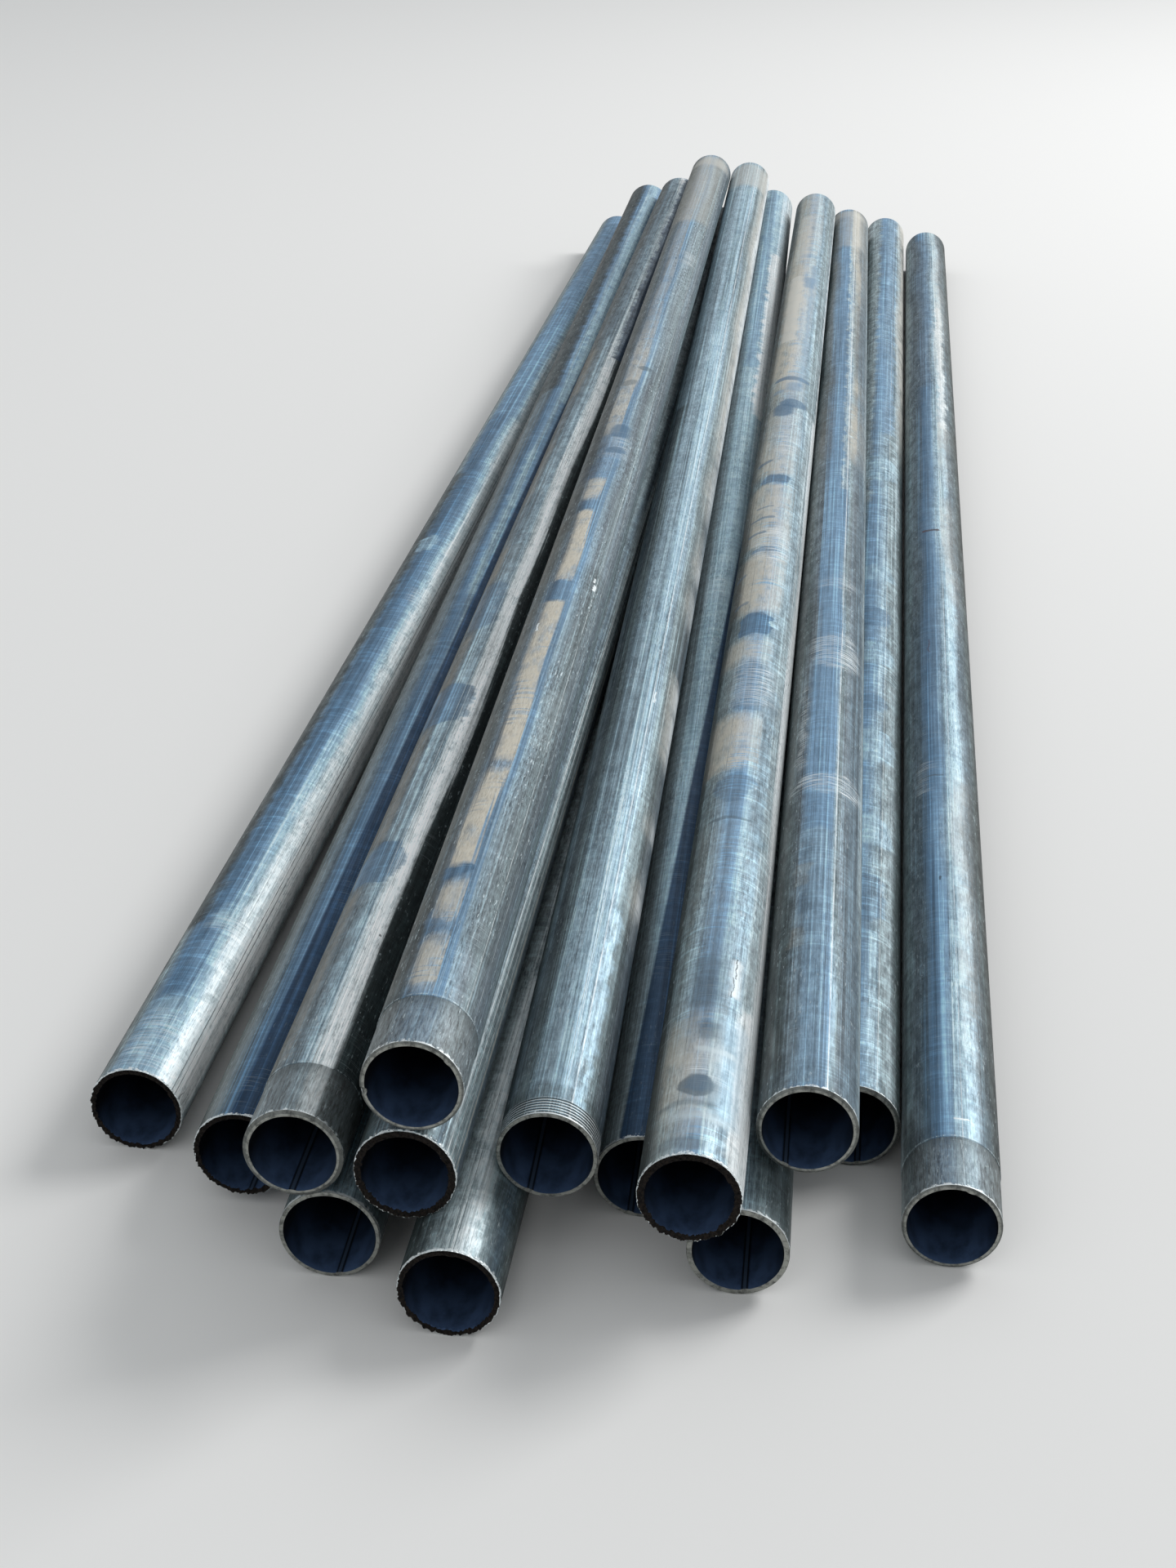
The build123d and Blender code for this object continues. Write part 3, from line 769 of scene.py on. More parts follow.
LOOKS = {
    "base_tube_1": dict(
        bead=62, mottle=0.35, wisps=0.65, wipes=0.5,
        # GLINT round the right side is a painted highlight.
        round=[(-75, SHADE), (-50, DUSK), (-38, GREY), (-20, DEEP_SKY_REFLECTION), (0, DEEP_SKY_REFLECTION), (13, SKY_REFLECTION),
               (26, PALE_SKY_REFLECTION), (38, HIGHLIGHT_AND_SCRATCH_WHITE), (54, HIGHLIGHT_AND_SCRATCH_WHITE), (60, GLINT), (84, GLINT),
               (94, DULL_STEEL), (104, DUSK)],
        film=[(-180, DULL_STEEL), (180, DULL_STEEL)],
        film_round=[(-70, 0.0), (-56, 0.7), (-40, 0.7), (-34, 0.0)],
        film_along=[(0, 0.1), (1200, 0.05), (1600, 0.5), (2200, 1.0)],
        # The SHADE patch on the left side is painted shade.
        patches=[(SHADE, 850, -43, 1250, 42, 14, 0.9), (SKY_REFLECTION, 2450, 4, 1500, 60, 24, 0.7),
                 (PALE_SKY_REFLECTION, 50, 0, 150, 50, 25, 0.7), (SKY_REFLECTION, 180, 4, 60, 30, 15, 0.6),
                 (PALE_SKY_REFLECTION, 240, 8, 50, 30, 12, 0.6), (PALE_SKY_REFLECTION, 1180, -8, 60, 30, 6, 0.5)],
        marks=[(SHADE, 9, 74, 16, 1.2, 0.6, 0.8), (SHADE, 16, 82, 20, 1.0, 0.5, 0.7)],
        dragged=[(45, 5, 110, 70, 30, 0.5), (230, 20, 60, 50, 20, 0.6), (1010, 30, 60, 40, 15, 0.7)],
        seams=[(SHADE, 56, 1.4, 0.9), (GLINT, 59, 1.6, 0.9), (SHADE, 62.5, 1.2, 0.9),
               (GLINT, 65.5, 1.4, 0.7), (SHADE, 70, 1.0, 0.5)],
    ),
    "base_tube_2": dict(
        round=[(-60, SHADE), (-46, DUSK), (-34, SLATE), (-22, SLATE), (-9, DEEP_SKY_REFLECTION), (3, SKY_REFLECTION),
               (9, STEEL), (16, SKY_REFLECTION), (30, SKY_REFLECTION), (60, SLATE), (110, SHADE)],
        film=[(-60, BROWN_DUST_AND_SHADE), (-24, DULL_STEEL)],
        film_round=[(-60, 0.0), (-48, 0.4), (-38, 0.7), (-30, 0.6), (-22, 0.0)],
        film_along=[(0, 1.0), (380, 0.9), (400, 0.3), (500, 0.9), (900, 0.5), (1500, 0.8), (1750, 0.2),
                    (3048, 0.0)],
        # The SHADE patch at the far end is painted shade.
        patches=[(PALE_SKY_REFLECTION, 2450, 24, 1500, 24, 8, 0.9), (SHADE, 2450, -36, 1400, 50, 12, 0.9),
                 (PALE_SKY_REFLECTION, 1250, 6, 500, 16, 6, 0.6)],
        # The painted shadow of the tube above, on the right side.
        painted_shadow=[(NAVY, -10, 21.5, 0.95)],
    ),
    "upper_tube_1": dict(
        end="banded", bead=-176, mottle=0.35, wisps=0.3, streaks=0.4,
        # GLINT from 11 to 26 degrees is a painted highlight, and SHADE past 30 degrees is the painted
        # shadow of the top tube.
        round=[(-80, SHADE), (-56, DUSK), (-40, SLATE), (-24, SLATE), (-9, STEEL), (0, STEEL),
               (5, HIGHLIGHT_AND_SCRATCH_WHITE), (11, GLINT), (26, GLINT), (30, SHADE), (110, SHADE)],
        film=[(-50, BROWN_DUST_AND_SHADE), (-20, TAN)],
        film_round=[(-80, 0.0), (-62, 0.7), (-36, 0.7), (-26, 0.1), (-12, 0.1), (0, 0.0)],
        film_along=[(62, 0.0), (66, 0.7), (318, 0.8), (324, 0.0), (400, 0.0), (406, 0.8), (622, 0.7),
                    (628, 0.0), (732, 0.0), (738, 0.8), (848, 0.8), (854, 0.1), (1000, 0.2), (1006, 0.9),
                    (1110, 0.9), (1130, 0.2), (1240, 0.1), (1300, 0.8), (1480, 0.7), (1500, 0.2),
                    (1680, 0.2), (1700, 0.9), (1900, 0.9), (1930, 0.2)],
        # The NAVY patch at the far end carries the top tube's painted shadow on.
        patches=[(DEEP_SKY_REFLECTION, 361, -20, 76, 50, 6, 0.7), (DEEP_SKY_REFLECTION, 680, -22, 100, 56, 6, 0.7),
                 (DEEP_SKY_REFLECTION, 930, -24, 140, 40, 8, 0.5), (SLATE, 2450, -20, 1000, 70, 30, 0.7),
                 (NAVY, 2500, 28, 1300, 22, 6, 0.8), (SHADE, 2450, -44, 1300, 30, 10, 0.7),
                 (STEEL, 2400, 8, 1200, 18, 8, 0.5)],
        marks=[(SHADE, 245, 20, 5, 3, 1, 0.8), (GLINT, 300, 16, 60, 3, 1, 0.7)],
        seams=[(SHADE, -4, 0.8, 0.6), (GLINT, -1.5, 0.8, 0.6), (SHADE, 3, 1.0, 0.7), (GLINT, 6, 1.0, 0.7),
               (SHADE, 10, 0.7, 0.5)],
    ),
    "top_tube": dict(
        end="banded", bead=50, nick=(-100, 1.2), mottle=0.12, wisps=0.2, wipes=0.35, streaks=0.35,
        grit=0.75,
        round=[(-80, SHADE), (-62, DUSK), (-40, DUSK), (-28, SLATE), (-16, DEEP_SKY_REFLECTION), (-6, SKY_REFLECTION),
               (15, SKY_REFLECTION), (20, STEEL), (32, LEAD), (46, GREY), (60, LEAD), (78, LEAD), (92, GREY),
               (115, SHADE)],
        film=[(-32, BROWN_DUST_AND_SHADE), (-17, TAN)],
        film_round=[(-88, 0.0), (-74, 0.4), (-56, 0.5), (-42, 0.15), (-26, 0.15), (-18, 1.0), (6, 1.0),
                    (9, 0.0)],
        film_along=[(66, 0.0), (80, 0.8), (132, 0.75), (150, 0.05), (166, 0.1), (180, 0.8), (214, 0.8),
                    (232, 0.0), (254, 0.0), (257, 1.0), (418, 1.0), (422, 0.3), (438, 0.3), (442, 1.0),
                    (800, 1.0), (806, 0.0), (865, 0.0), (870, 1.0), (1060, 1.0), (1066, 0.0), (1105, 0.0),
                    (1110, 0.9), (1170, 0.9), (1178, 0.1), (1330, 0.15), (1345, 0.5), (1420, 0.8),
                    (1660, 0.7), (1900, 0.35), (3048, 0.4)],
        patches=[(DEEP_SKY_REFLECTION, 245, -14, 34, 30, 5, 0.8), (DEEP_SKY_REFLECTION, 150, -18, 80, 20, 5, 0.8),
                 (DULL_STEEL, 540, 42, 140, 26, 8, 0.5), (DULL_STEEL, 2300, 26, 1300, 34, 14, 0.3),
                 (SHADE, 160, -50, 140, 40, 16, 0.6), (NAVY, 1200, -28, 80, 24, 8, 0.5),
                 (DUSK, 520, 44, 800, 50, 16, 0.4), (SHADE, 1250, -36, 500, 28, 12, 0.7)],
        marks=[(GLINT, 736, -22, 20, 3, 1, 0.9), (GLINT, 868, 46, 16, 5, 1.5, 0.9),
               (GLINT, 884, 43, 12, 4, 1.5, 0.8), (SLATE, 1557, -10, 30, 24, 4, 0.5),
               (DEEP_SKY_REFLECTION, 1353, 6, 60, 30, 8, 0.7), (DEEP_SKY_REFLECTION, 1281, 8, 30, 30, 6, 0.7),
               (SLATE, 1625, 14, 24, 24, 4, 0.6), (TAN, 2760, 0, 560, 90, 36, 0.4),
               (CREAM, 3000, 10, 110, 110, 30, 0.5)],
        dragged=[(1300, 14, 110, 40, 20, 0.6), (2250, 30, 90, 40, 20, 0.7)],
        seams=[(SHADE, 9, 0.9, 0.5), (PALE_SKY_REFLECTION, 12, 1.6, 0.6), (GLINT, 50, 0.9, 0.5),
               (SHADE, 52, 0.9, 0.5), (GLINT, 66, 0.8, 0.5)],
    ),
    "upper_tube_2": dict(
        bead=60, mottle=0.35, streaks=0.4,
        round=[(-60, DUSK), (0, SLATE), (30, GREY), (46, SLATE), (58, DULL_STEEL), (64, GREY), (74, GREY),
               (92, SLATE), (112, DUSK)],
        seams=[(GLINT, 56, 2.0, 0.9), (SHADE, 60, 1.4, 0.9), (GLINT, 64, 1.2, 0.8), (SHADE, 69, 1.2, 0.7),
               (GLINT, 73, 1.0, 0.6), (TAN, 80, 3.0, 0.7), (SHADE, 86, 2.0, 0.7)],
    ),
    "base_tube_3": dict(
        end="plain",
        round=[(-60, DUSK), (0, STEEL), (60, GREY)],
    ),
    "base_tube_4": dict(
        bead=4, mottle=0.45, wisps=0.5,
        round=[(-70, SHADE), (-44, DUSK), (-24, GREY), (-6, DULL_STEEL), (8, HIGHLIGHT_AND_SCRATCH_WHITE),
               (20, HIGHLIGHT_AND_SCRATCH_WHITE), (32, GREY), (50, SLATE), (72, DUSK), (88, SHADE)],
        seams=[(GLINT, 4, 1.1, 0.7), (SHADE, 6.5, 0.9, 0.7)],
    ),
    "upper_tube_3": dict(
        end="grooved", bead=-158, wisps=0.2, streaks=0.5,
        round=[(-84, SHADE), (-72, DUSK), (-58, SLATE), (-46, LEAD), (-34, GREY), (-22, STEEL),
               (-4, STEEL), (8, PALE_SKY_REFLECTION), (18, PALE_SKY_REFLECTION), (25, STEEL), (31, STEEL), (38, GREY),
               (56, GREY), (70, LEAD), (90, SLATE)],
        # The dust turns to GLINT at the right edge as a painted highlight.
        film=[(62, CREAM), (76, GLINT)],
        film_round=[(42, 0.0), (52, 0.4), (64, 0.7), (74, 1.0), (96, 0.9), (110, 0.0)],
        film_along=[(250, 0.0), (300, 0.2), (330, 0.8), (400, 0.1), (440, 0.2), (460, 0.8), (500, 0.2),
                    (580, 0.1), (610, 0.9), (760, 0.9), (785, 0.05), (900, 0.1), (960, 0.8), (1020, 0.2),
                    (1080, 0.8), (1200, 0.2), (1300, 0.8), (1420, 0.5), (1500, 1.0)],
        patches=[(DUSK, 26, 0, 26, 300, 14, 0.55), (PALE_SKY_REFLECTION, 150, 38, 300, 14, 7, 0.6),
                 (PALE_SKY_REFLECTION, 2350, 2, 1500, 36, 14, 0.5), (STEEL, 2350, -30, 1500, 44, 9, 0.8)],
        marks=[(CREAM, 2950, 0, 210, 120, 36, 0.5), (GLINT, 700, 30, 26, 3, 1, 0.6)],
        seams=[(SHADE, 14, 0.8, 0.7), (GLINT, 17, 1.0, 0.6), (SHADE, 24, 0.8, 0.7),
               (GLINT, 26.5, 1.8, 0.8), (SHADE, -40, 2.0, 0.4)],
    ),
    "base_tube_5": dict(
        end="plain", bead=-164,
        round=[(-74, GREY), (-44, GREY), (-30, DULL_STEEL), (-14, PALE_SKY_REFLECTION), (26, PALE_SKY_REFLECTION),
               (60, HIGHLIGHT_AND_SCRATCH_WHITE), (90, GREY)],
        # The GLINT patch is a painted highlight.
        patches=[(SKY_REFLECTION, 2500, 2, 1200, 24, 8, 0.6), (GLINT, 2130, 48, 900, 44, 8, 0.9),
                 (DULL_STEEL, 1200, -40, 2400, 34, 12, 0.5)],
        # The painted shadow of the tube above.
        painted_shadow=[(NAVY, -30, 50, 0.95)],
        dragged=[(1050, 0, 80, 40, 20, 0.6)],
    ),
    "upper_tube_4": dict(
        bead=58, mottle=0.32, wipes=0.9, scuffs=0.45, rough=0.54,
        # GLINT on the right side is a painted highlight.
        round=[(-78, SHADE), (-58, SHADE), (-46, GREY), (-34, GREY), (-22, STEEL), (-8, SKY_REFLECTION), (8, SKY_REFLECTION),
               (17, PALE_SKY_REFLECTION), (24, STEEL), (38, STEEL), (50, DULL_STEEL), (60, DULL_STEEL), (70, GLINT),
               (88, GLINT), (100, GREY)],
        film=[(-52, BROWN_DUST_AND_SHADE), (-40, TAN), (-12, TAN), (4, CREAM)],
        film_round=[(-75, 0.2), (-58, 0.5), (-46, 0.9), (-4, 0.9), (6, 0.7), (24, 0.5), (31, 0.0)],
        film_along=[(0, 0.2), (60, 0.6), (120, 0.8), (160, 0.5), (200, 0.1), (480, 0.15), (500, 0.05),
                    (598, 0.1), (602, 0.95), (712, 0.95), (718, 0.1), (842, 0.1), (848, 0.8), (900, 0.7),
                    (908, 0.0), (972, 0.0), (980, 0.95), (1142, 0.95), (1150, 0.1), (1172, 0.1),
                    (1180, 0.9), (1385, 0.85), (1392, 0.1), (1425, 0.1), (1432, 0.9), (1680, 0.5),
                    (1720, 0.3), (1840, 1.0), (2360, 1.0), (3048, 0.6)],
        # The GLINT patch at the near end's right side is a painted highlight.
        patches=[(STEEL, 2200, 12, 1600, 14, 5, 0.5), (DEEP_SKY_REFLECTION, 620, 36, 330, 16, 6, 0.5),
                 (DEEP_SKY_REFLECTION, 560, -8, 56, 40, 5, 0.55), (DEEP_SKY_REFLECTION, 690, -22, 30, 30, 3, 0.5),
                 (DEEP_SKY_REFLECTION, 780, -4, 120, 34, 4, 0.5), (DEEP_SKY_REFLECTION, 940, -8, 64, 36, 3, 0.85),
                 (DEEP_SKY_REFLECTION, 1160, -12, 22, 34, 2, 0.8), (DEEP_SKY_REFLECTION, 1408, -8, 34, 38, 3, 0.85),
                 (GLINT, 100, 66, 230, 46, 14, 0.8), (DEEP_SKY_REFLECTION, 190, -4, 90, 34, 14, 0.45),
                 (HIGHLIGHT_AND_SCRATCH_WHITE, 130, 20, 40, 30, 14, 0.5), (PALE_SKY_REFLECTION, 58, 4, 24, 60, 12, 0.5),
                 (GREY, 2400, 58, 1400, 36, 10, 0.9), (GREY, 1000, 38, 1100, 22, 8, 0.6)],
        marks=[(SLATE, 84, -4, 30, 28, 3, 0.7), (DEEP_SKY_REFLECTION, 86, -2, 26, 24, 5, 0.4),
               (SLATE, 76, 14, 40, 16, 8, 0.4), (PALE_SKY_REFLECTION, 110, 34, 150, 40, 14, 0.45),
               (SLATE, 156, 2, 36, 26, 10, 0.55), (HIGHLIGHT_AND_SCRATCH_WHITE, 130, 16, 12, 36, 5, 0.6),
               (HIGHLIGHT_AND_SCRATCH_WHITE, 46, 2, 18, 56, 8, 0.45), (SLATE, 62, -14, 12, 50, 5, 0.4),
               (SLATE, 226, -8, 90, 36, 14, 0.5), (SLATE, 14, -14, 24, 44, 8, 0.45),
               (GLINT, 236, 28, 60, 14, 7, 0.7), (SHADE, 250, 27, 30, 1.6, 0.8, 0.9),
               (SHADE, 222, 24, 30, 1.4, 0.7, 0.8), (DEEP_SKY_REFLECTION, 1690, -10, 60, 34, 8, 0.75),
               (DEEP_SKY_REFLECTION, 1722, 10, 44, 44, 6, 0.7), (SKY_REFLECTION, 1780, -26, 24, 24, 6, 0.5),
               (DEEP_SKY_REFLECTION, 1838, 0, 22, 56, 4, 0.7), (SKY_REFLECTION, 1800, 8, 50, 30, 8, 0.5),
               (DEEP_SKY_REFLECTION, 1219, -30, 8, 26, 1.5, 0.6), (DEEP_SKY_REFLECTION, 1268, -24, 8, 34, 1.5, 0.6),
               (DEEP_SKY_REFLECTION, 1306, -20, 6, 26, 1.5, 0.5), (DEEP_SKY_REFLECTION, 1480, -34, 14, 24, 3, 0.6),
               (DEEP_SKY_REFLECTION, 1006, -40, 8, 22, 2, 0.5), (DEEP_SKY_REFLECTION, 1096, -50, 10, 20, 2, 0.5),
               (SKY_REFLECTION, 2380, 12, 80, 30, 12, 0.6), (SKY_REFLECTION, 2150, 20, 700, 16, 8, 0.5),
               (SKY_REFLECTION, 2560, 4, 40, 40, 12, 0.4), (SLATE, 497, -6, 7, 44, 2, 0.5),
               (CREAM, 2230, -22, 400, 30, 8, 0.8), (CREAM, 2700, -18, 340, 30, 8, 0.4)],
        dragged=[(790, 0, 130, 60, 20, 0.7), (1180, 0, 130, 60, 20, 0.8), (1600, 0, 200, 60, 20, 0.5),
                 (100, 10, 60, 50, 20, 0.6)],
        seams=[(SLATE, -22, 0.9, 0.6), (GLINT, 58, 1.2, 0.7), (SHADE, 60.5, 1.0, 0.6),
               (GLINT, 66, 0.8, 0.5), (SHADE, 70, 0.8, 0.5)],
    ),
    "base_tube_6": dict(
        end="plain",
        round=[(-60, DUSK), (0, STEEL), (20, GREY), (60, DUSK)],
    ),
    "upper_tube_5": dict(
        end="bevelled", bead=-153, mottle=0.35, wisps=0.3, wipes=0.5, streaks=0.35,
        round=[(-80, DUSK), (-62, SHADE), (-44, DUSK), (-30, LEAD), (-18, SKY_REFLECTION), (15, SKY_REFLECTION), (20, STEEL),
               (25, GREY), (32, LEAD), (45, SLATE), (62, SLATE), (76, DULL_STEEL), (92, DUSK)],
        film=[(10, BROWN_DUST_AND_SHADE), (24, TAN)],
        film_round=[(-48, 0.0), (-38, 0.5), (-14, 0.4), (-8, 0.0), (14, 0.0), (18, 0.8), (34, 0.8),
                    (40, 0.3)],
        film_along=[(1450, 0.0), (1500, 0.6), (1560, 0.9), (1700, 0.8), (1760, 0.2), (1820, 0.8),
                    (1900, 0.2), (2200, 0.3), (2500, 0.8), (3048, 1.0)],
        patches=[(BROWN_DUST_AND_SHADE, 220, -27, 40, 20, 5, 0.6), (BROWN_DUST_AND_SHADE, 327, -22, 44, 20, 5, 0.6),
                 (DEEP_SKY_REFLECTION, 274, -14, 40, 22, 5, 0.8), (DEEP_SKY_REFLECTION, 366, -19, 24, 18, 5, 0.7),
                 (SLATE, 20, 0, 50, 200, 20, 0.3), (STEEL, 210, -8, 420, 44, 14, 0.45),
                 (SLATE, 120, 50, 400, 34, 12, 0.6), (HIGHLIGHT_AND_SCRATCH_WHITE, 2200, 15, 1700, 12, 5, 0.5)],
        marks=[(CREAM, 2880, 14, 340, 70, 30, 0.45), (CREAM, 3010, 0, 80, 110, 30, 0.3)],
        dragged=[(504, 10, 44, 90, 10, 0.9), (820, 14, 110, 70, 20, 0.9), (640, -36, 200, 14, 6, 0.6),
                 (1020, 10, 60, 60, 20, 0.5)],
        seams=[(GLINT, 20, 1.6, 0.9), (SHADE, 22.5, 0.9, 0.7), (SHADE, 12, 0.7, 0.5)],
    ),
    "base_tube_7": dict(
        end="bevelled", mottle=0.45, wisps=0.7, wipes=0.8,
        round=[(-60, DUSK), (-38, GREY), (-22, GREY), (-11, SKY_REFLECTION), (0, SKY_REFLECTION), (16, STEEL), (30, GREY),
               (46, DULL_STEEL), (60, DUSK), (80, SHADE)],
        film=[(-180, CREAM), (180, CREAM)],
        film_round=[(38, 0.0), (48, 0.4), (60, 0.9), (90, 1.0), (104, 0.0)],
        film_along=[(1500, 0.0), (1900, 0.9)],
        patches=[(PALE_SKY_REFLECTION, 615, 6, 90, 60, 8, 0.5), (PALE_SKY_REFLECTION, 855, 6, 70, 60, 8, 0.5),
                 (SKY_REFLECTION, 2400, 14, 1500, 40, 12, 0.6), (DULL_STEEL, 2200, -30, 1700, 34, 10, 0.8),
                 (DEEP_SKY_REFLECTION, 721, 4, 50, 50, 8, 0.5), (DEEP_SKY_REFLECTION, 300, 4, 90, 50, 8, 0.4),
                 (PALE_SKY_REFLECTION, 430, 6, 70, 60, 8, 0.5), (DEEP_SKY_REFLECTION, 960, 4, 70, 50, 8, 0.5),
                 (PALE_SKY_REFLECTION, 1100, 6, 60, 60, 8, 0.4), (PALE_SKY_REFLECTION, 1500, 6, 110, 60, 10, 0.4)],
        seams=[(NAVY, 24, 2.0, 0.5), (GLINT, 28, 1.0, 0.5)],
    ),
    "base_tube_8": dict(
        end="banded", bead=20, mottle=0.4, wisps=0.3, rough=0.54,
        round=[(-95, DULL_STEEL), (-72, DULL_STEEL), (-60, GREY), (-50, LEAD), (-36, SLATE),
               (-20, DEEP_SKY_REFLECTION), (-6, SKY_REFLECTION), (6, STEEL), (14, PALE_SKY_REFLECTION), (22, PALE_SKY_REFLECTION), (28, STEEL),
               (34, SLATE), (58, DUSK), (70, SHADE), (84, SHADE)],
        film=[(40, CREAM), (56, BROWN_DUST_AND_SHADE)],
        film_round=[(10, 0.0), (15, 0.6), (28, 0.6), (36, 0.3), (52, 0.15), (80, 0.2), (98, 0.0)],
        film_along=[(0, 0.0), (120, 0.2), (300, 0.7), (640, 0.7), (700, 0.2), (1000, 0.1), (1200, 0.7),
                    (1440, 0.8), (1520, 0.2), (1700, 0.7), (1800, 0.9), (1850, 0.3), (2500, 0.9),
                    (3048, 0.5)],
        # The GLINT patch is a painted highlight.
        patches=[(LEAD, 2500, -20, 1000, 60, 30, 0.5), (GLINT, 2150, 24, 700, 18, 8, 0.6)],
        marks=[(GLINT, 84, 10, 3.5, 12, 1.5, 0.9), (RUST, 1374, -9, 9, 24, 1.5, 0.8),
               (SLATE, 1374, -9, 5, 16, 1.5, 0.9), (RUST, 999, -18, 40, 3, 1.5, 0.5),
               (SLATE, 670, -16, 4, 24, 1.5, 0.7), (SHADE, 459, -9, 8, 3, 1, 0.7)],
        dragged=[(670, -30, 80, 30, 15, 0.4), (2300, 20, 120, 40, 20, 0.5)],
        seams=[(GLINT, 10, 0.9, 0.6), (SHADE, 12, 0.7, 0.5), (SHADE, 1, 0.7, 0.4)],
    ),
}


def bore_of(node):
    """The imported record's bore of a tube: mouth, direction along the tube, radius and length."""
    mount = next(m for m in frame["record"]["mounts"] if m["name"] == node + "_bore")
    return (Vector(mount["pos_m"]), -Vector(mount["axis"]), mount["dims"]["r_mm"] * MM,
            mount["dims"]["length_mm"] * MM)


def show(name, content):
    """Put a mesh, a lamp or a camera into the scene as an object."""
    shown = bpy.data.objects.new(name, content)
    bpy.context.scene.collection.objects.link(shown)
    return shown


def make_tube(node, number, tree, finishes):
    """Build one tube on its CAD node's own axis. The record's bore starts behind a broken edge."""
    look = {**COMMON, **LOOKS[node]}
    kind = look["end"]
    end = ENDS[kind]
    mouth, along, bore, clear = bore_of(node)
    broken = kind in ("plain", "grooved")
    length = clear + EDGE_BREAK * (2 if broken else 1) - TRIM
    start = mouth - along * (EDGE_BREAK if broken else 0.0)
    band_length, band_depth = (BAND_LENGTH, BAND_DEPTH) if kind == "banded" else (0.0, 0.0)
    tip = OUTSIDE_RADIUS - band_depth
    land, slope = BEVEL_LAND, (tip - bore - BEVEL_LAND) * math.tan(BEVEL_ANGLE)
    if kind == "sawn":
        land, slope = (OUTSIDE_RADIUS - bore) / 2, 0.0
    if broken:
        land, slope = OUTSIDE_RADIUS - bore - EDGE_BREAK, EDGE_BREAK
    nick_angle, nick_depth = look["nick"]
    values = {
        "Outside Radius": OUTSIDE_RADIUS, "Bore Radius": bore, "Length": length,
        "Tip Radius": tip, "Land": land, "Slope": slope,
        "Band Length": band_length, "Band Depth": band_depth,
        "End Zone": end["zone"], "End Rows": end["rows"],
        "Groove Count": GROOVE_COUNT if kind == "grooved" else 0, "Ragged": end["ragged"],
        "Bead Angle": math.radians(look["bead"]),
        "Nick Angle": math.radians(nick_angle), "Nick Depth": nick_depth * MM, "Seed": number,
        "Skin": skin_finish("drawn_steel_" + node, look, 11.0 * number, length),
        "Cut": finishes["sawn" if kind == "sawn" else "machined"], "Bore": finishes["bore"],
    }
    holder = show(node + "_raw", bpy.data.meshes.new(node + "_raw"))
    modifier = holder.modifiers.new("tube", "NODES")
    modifier.node_group = tree
    for socket in tree.interface.items_tree:
        if socket.in_out == "INPUT":
            modifier[socket.identifier] = values[socket.name]
    evaluated = holder.evaluated_get(bpy.context.evaluated_depsgraph_get())
    mesh = bpy.data.meshes.new_from_object(evaluated)
    bpy.data.objects.remove(holder)
    side = along.cross(Vector((0, 0, 1))).normalized()
    axes = Matrix((side, along, side.cross(along))).transposed().to_4x4()
    mesh.transform(Matrix.Translation(start) @ axes)
    mesh.name = node + "_steel"
    piece = show(node + "_steel", mesh)
    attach(piece, "root")
    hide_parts(node)


def make_tubes():
    tree = tube_tree()
    finishes = {
        "sawn": sawn_finish("hot_sawn_end"),
        "machined": machined_finish("machined_bevel"),
        "bore": bore_finish("bore_oxide"),
    }
    for number, node in enumerate(sorted(LOOKS)):
        make_tube(node, number, tree, finishes)


# The studio

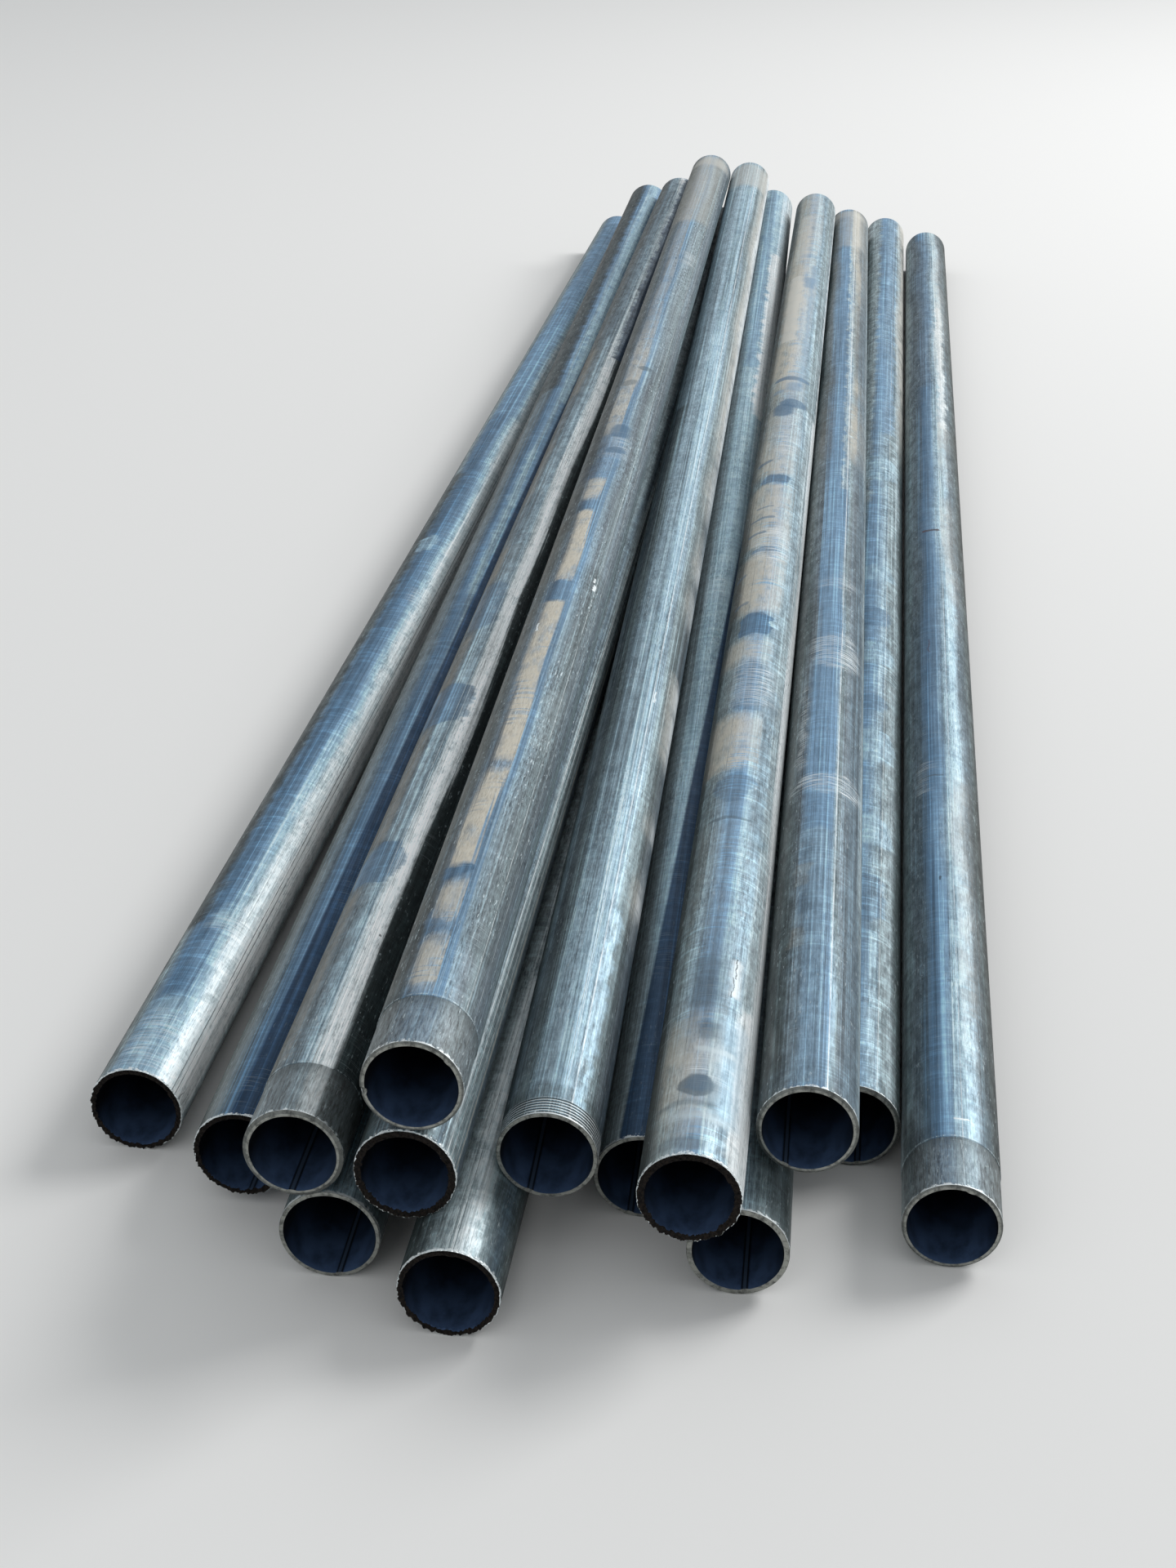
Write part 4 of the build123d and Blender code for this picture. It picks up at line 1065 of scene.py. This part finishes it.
def make_floor():
    mesh = bpy.data.meshes.new("floor")
    half = 30.0
    mesh.from_pydata([(-half, -half, 0), (half, -half, 0), (half, half, 0), (-half, half, 0)], [],
                     [(0, 1, 2, 3)])
    floor = show("floor", mesh)
    material, tree = new_material("studio_floor")
    give_surface(tree, {"Base Color": linear(STUDIO_FLOOR), "Roughness": 0.9,
                        "Specular IOR Level": 0.1})
    mesh.materials.append(material)


def make_light():
    """A pale room, one large soft lamp to the right and behind, where the highlights need it, and
    a weak one in front."""
    world = bpy.data.worlds.new("studio")
    bpy.context.scene.world = world
    world.use_nodes = True
    tree = world.node_tree
    tree.nodes.clear()
    light_given, light_seen = 0.58, 0.62
    path = add(tree, "ShaderNodeLightPath").node.outputs
    seen = add(tree, MATH, (path["Is Camera Ray"], path["Is Glossy Ray"]), operation="MAXIMUM")
    seen = add(tree, MATH, (seen, path["Is Transmission Ray"]), operation="MAXIMUM")
    strength = add(tree, RANGE, (seen, 0.0, 1.0, light_given, light_seen))
    sky = add(tree, "ShaderNodeBackground", (linear(STUDIO_AIR), strength))
    add(tree, "ShaderNodeOutputWorld", {"Surface": sky})
    middle = Vector((0.0, 0.0, 0.1))
    for name, place, size, power in (
        ("key", Vector((5.4, 3.3, 5.2)), 3.6, 430.0),
        ("fill", Vector((-2.0, -6.0, 3.0)), 3.0, 25.0),
    ):
        lamp = bpy.data.lights.new(name, "AREA")
        lamp.size = size
        lamp.energy = power
        holder = show(name, lamp)
        holder.location = place
        holder.rotation_euler = (middle - place).to_track_quat("-Z", "Y").to_euler()


def make_camera():
    """The photograph's eye: 1.03 m up, a step in front of the nearest mouth, looking down."""
    picture_height = 1920
    focal_pixels = 2805
    sensor_height = 36.0
    from_mouth = Vector((245.2, -1231.5, 997.9)) * MM
    yaw, pitch = math.radians(6.90), math.radians(26.0)
    camera = bpy.data.cameras.new("camera")
    camera.sensor_fit = "VERTICAL"
    camera.sensor_height = sensor_height
    camera.lens = focal_pixels / picture_height * sensor_height
    holder = show("camera", camera)
    holder.location = bore_of("base_tube_4")[0] + from_mouth
    forward = Vector((-math.sin(yaw) * math.cos(pitch), math.cos(yaw) * math.cos(pitch), -math.sin(pitch)))
    holder.rotation_euler = forward.to_track_quat("-Z", "Y").to_euler()
    bpy.context.scene.camera = holder


make_tubes()
make_floor()
make_light()
make_camera()
bpy.context.scene.view_settings.view_transform = "Standard"
